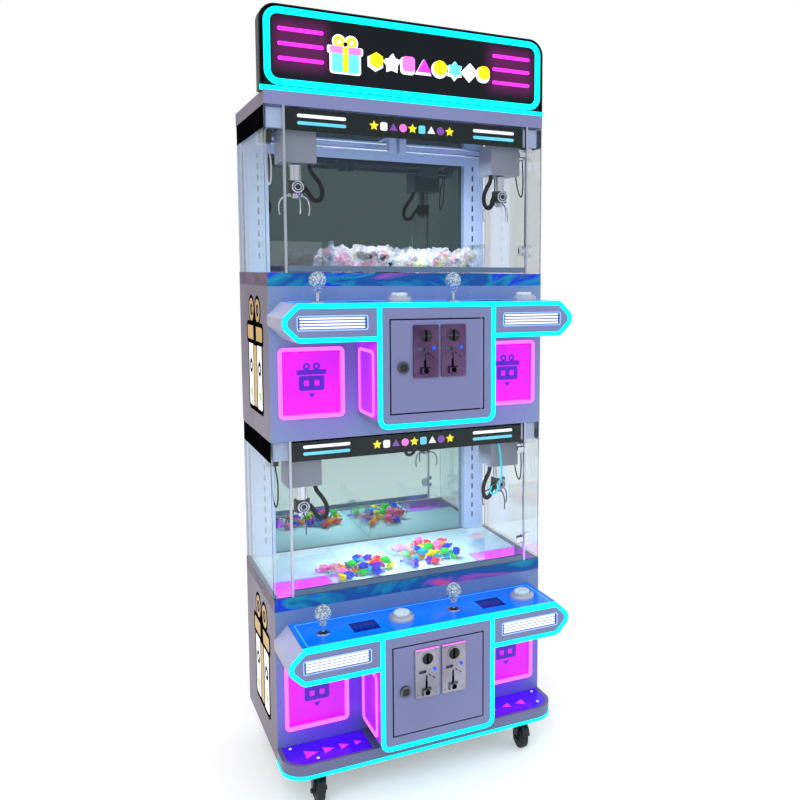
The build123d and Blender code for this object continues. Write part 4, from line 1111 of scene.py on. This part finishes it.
def coil_rings(middle):
    """Two round rims, one inside the other, on the front of a claw's coil."""
    def build(mesh):
        count = 32
        for reach, thick, push in ((13, 2.2, 0.0), (7.5, 1.6, -1.0)):
            loops = []
            for i in range(count):
                a = 2 * math.pi * i / count
                loop = []
                for k in range(tube_sides):
                    b = 2 * math.pi * k / tube_sides
                    out = reach + thick * math.cos(b)
                    spot = Vector((out * math.cos(a), push - thick * math.sin(b), out * math.sin(a)))
                    loop.append(mesh.verts.new(middle + spot * MM))
                loops.append(loop)
            for i in range(count):
                here, there = loops[i], loops[(i + 1) % count]
                for k in range(tube_sides):
                    after = (k + 1) % tube_sides
                    mesh.faces.new((here[k], there[k], there[after], here[after]))
        bmesh.ops.recalc_face_normals(mesh, faces=mesh.faces)
    return build


hose_rubber = dull_black("hose_rubber", "101114", "08090B", 0.35)
white_lead = moulded("white_pvc", "E8E8EC", "D8D8DE", 0.4)
aqua_lead = printed_sheet("aqua_pvc", "20E0E8", "18D0DC", 0.3, 0.3)
# Control points, from a crane's middle line and the bay's ceiling
hose_line = (
    (30, -12, -124), (32, -14, -142), (46, -20, -158), (60, -26, -186),
    (54, -28, -214), (34, -22, -212), (26, -12, -190), (18, -6, -180),
)
side_line = (
    (350, 6, -76), (350, 4, -98), (349, -2, -150), (342, -6, -184),
    (334, 2, -162), (332, 14, -112), (334, 28, -92), (335, 30, -76),
)
strand_line = (
    (-24, -20, -46), (-24, -36, -43), (-22, -50, -58), (-16, -52, -100), (-12, -50, -150),
    (-22, -42, -196), (-34, -30, -206), (-34, -16, -192), (-18, -10, -182),
)
for tier, dz in tiers.items():
    roof = ceiling + dz
    for side, sign in sides.items():
        name = f"{tier}_{side}"
        x = sign * crane_x
        carriage = f"{name}_crane_carriage"
        top, foot = (Vector((x, crane_y, z)) * MM for z in (roof - 130, roof - 175))
        span = f"{name}_claw_head", top, foot
        hose = [(x - sign * a, crane_y + b, roof + c) for a, b, c in hose_line]
        tube(f"{name}_claw_lead", hose, 5.5, hose_rubber, carriage, span, 0.09)
        loop = [(sign * a, crane_y + b, roof + c) for a, b, c in side_line]
        lead_pvc = white_lead if name == "upper_left" else hose_rubber
        tube(f"{name}_side_lead", loop, 1.8, lead_pvc, f"{name}_crane_bridge", None)
        if name == "lower_right":
            strand = [(x + a, crane_y + b, roof + c) for a, b, c in strand_line]
            tube("lower_right_strobe_lead", strand, 2.6, aqua_lead, carriage, span)
        middle = Vector((x, crane_y - 21.5, roof - 181)) * MM
        merged(f"{name}_coil_ring", f"{name}_claw_head", [chrome], coil_rings(middle), True)

# Camera, lights and floor
yaw, tilt, roll = (math.radians(angle) for angle in (-27.4, -5.7, 0.4))
ahead = Vector((-math.sin(yaw) * math.cos(tilt), math.cos(yaw) * math.cos(tilt), math.sin(tilt)))
right = Vector((math.cos(yaw), math.sin(yaw), 0))
above = right.cross(ahead)
turned_right = right * math.cos(roll) + above * math.sin(roll)
turned_up = above * math.cos(roll) - right * math.sin(roll)
view = Matrix((turned_right, turned_up, -ahead)).transposed().to_4x4()
view.translation = Vector((-0.781, -2.2306, 1.3083))
camera_data = bpy.data.cameras.new("camera")
camera_data.sensor_width = 36
camera_data.lens = 39.65
camera_data.shift_x = -0.1575
camera_data.shift_y = -0.051
camera = bpy.data.objects.new("camera", camera_data)
camera.matrix_world = view
bpy.context.scene.collection.objects.link(camera)
bpy.context.scene.camera = camera

floor_material, floor_tree, floor_shader = start(
    "studio_floor", Roughness=0.75, Emission_Strength=0.34, Emission_Color=colour("FFFFFF"))
mottled(floor_tree, floor_shader, "FDFDFE", "FAFAFC", 900)
floor_mesh = bmesh.new()
bmesh.ops.create_circle(floor_mesh, cap_ends=True, segments=96, radius=9)
linked("floor", floor_mesh, [floor_material])

# The backdrop itself is plain white; what it casts on the machine is softer
world = bpy.data.worlds.new("studio")
world.use_nodes = True
bpy.context.scene.world = world
sky = world.node_tree
cast = sky.nodes["Background"]
cast.inputs["Color"].default_value = colour("FBFCFF")
cast.inputs["Strength"].default_value = 0.72
seen = add(sky, "ShaderNodeLightPath")
behind = add(sky, "ShaderNodeBackground", {"Color": colour("FFFFFF"), "Strength": 1.0})
both = add(sky, "ShaderNodeMixShader", {
    0: seen.outputs["Is Camera Ray"], 1: cast.outputs[0], 2: behind.outputs[0]})
sky.links.new(both.outputs[0], sky.nodes["World Output"].inputs["Surface"])


def soft_light(name, at, target, size, power, code="FFFFFF"):
    """A rectangular lamp of so many watts that doesn't show in the glass or the mirror."""
    lamp = bpy.data.lights.new(name, "AREA")
    lamp.shape = "RECTANGLE"
    lamp.size, lamp.size_y = size
    lamp.energy = power
    lamp.color = colour(code)[:3]
    holder = bpy.data.objects.new(name, lamp)
    holder.location = at
    holder.rotation_euler = (Vector(target) - Vector(at)).to_track_quat("-Z", "Y").to_euler()
    holder.visible_glossy = False
    bpy.context.scene.collection.objects.link(holder)


soft_light("key_light", (-1.6, -2.6, 3.0), (0, 0, 1.0), (2.0, 2.0), 36)
soft_light("fill_light", (2.4, -2.0, 1.8), (0, 0, 1.0), (2.0, 2.0), 16)
for label, dz in tiers.items():
    z = (ceiling + dz - 86) * MM
    soft_light(f"{label}_bay_light", (0, 0.02, z), (0, 0.02, z - 1), (0.3, 0.24), 2.6, "E8F6FF")
    for side, sign in sides.items():
        at = Vector((sign * crane_x, face + 60, deck + dz - 20)) * MM
        soft_light(f"{label}_{side}_chute_light", at, at - Vector((0, 0, 1)), (0.1, 0.08), 0.8, "F070FF")

settings = bpy.context.scene
settings.view_settings.view_transform = "Standard"
settings.view_settings.look = "None"
settings.cycles.transparent_max_bounces = 32
settings.cycles.caustics_reflective = False
settings.cycles.caustics_refractive = False
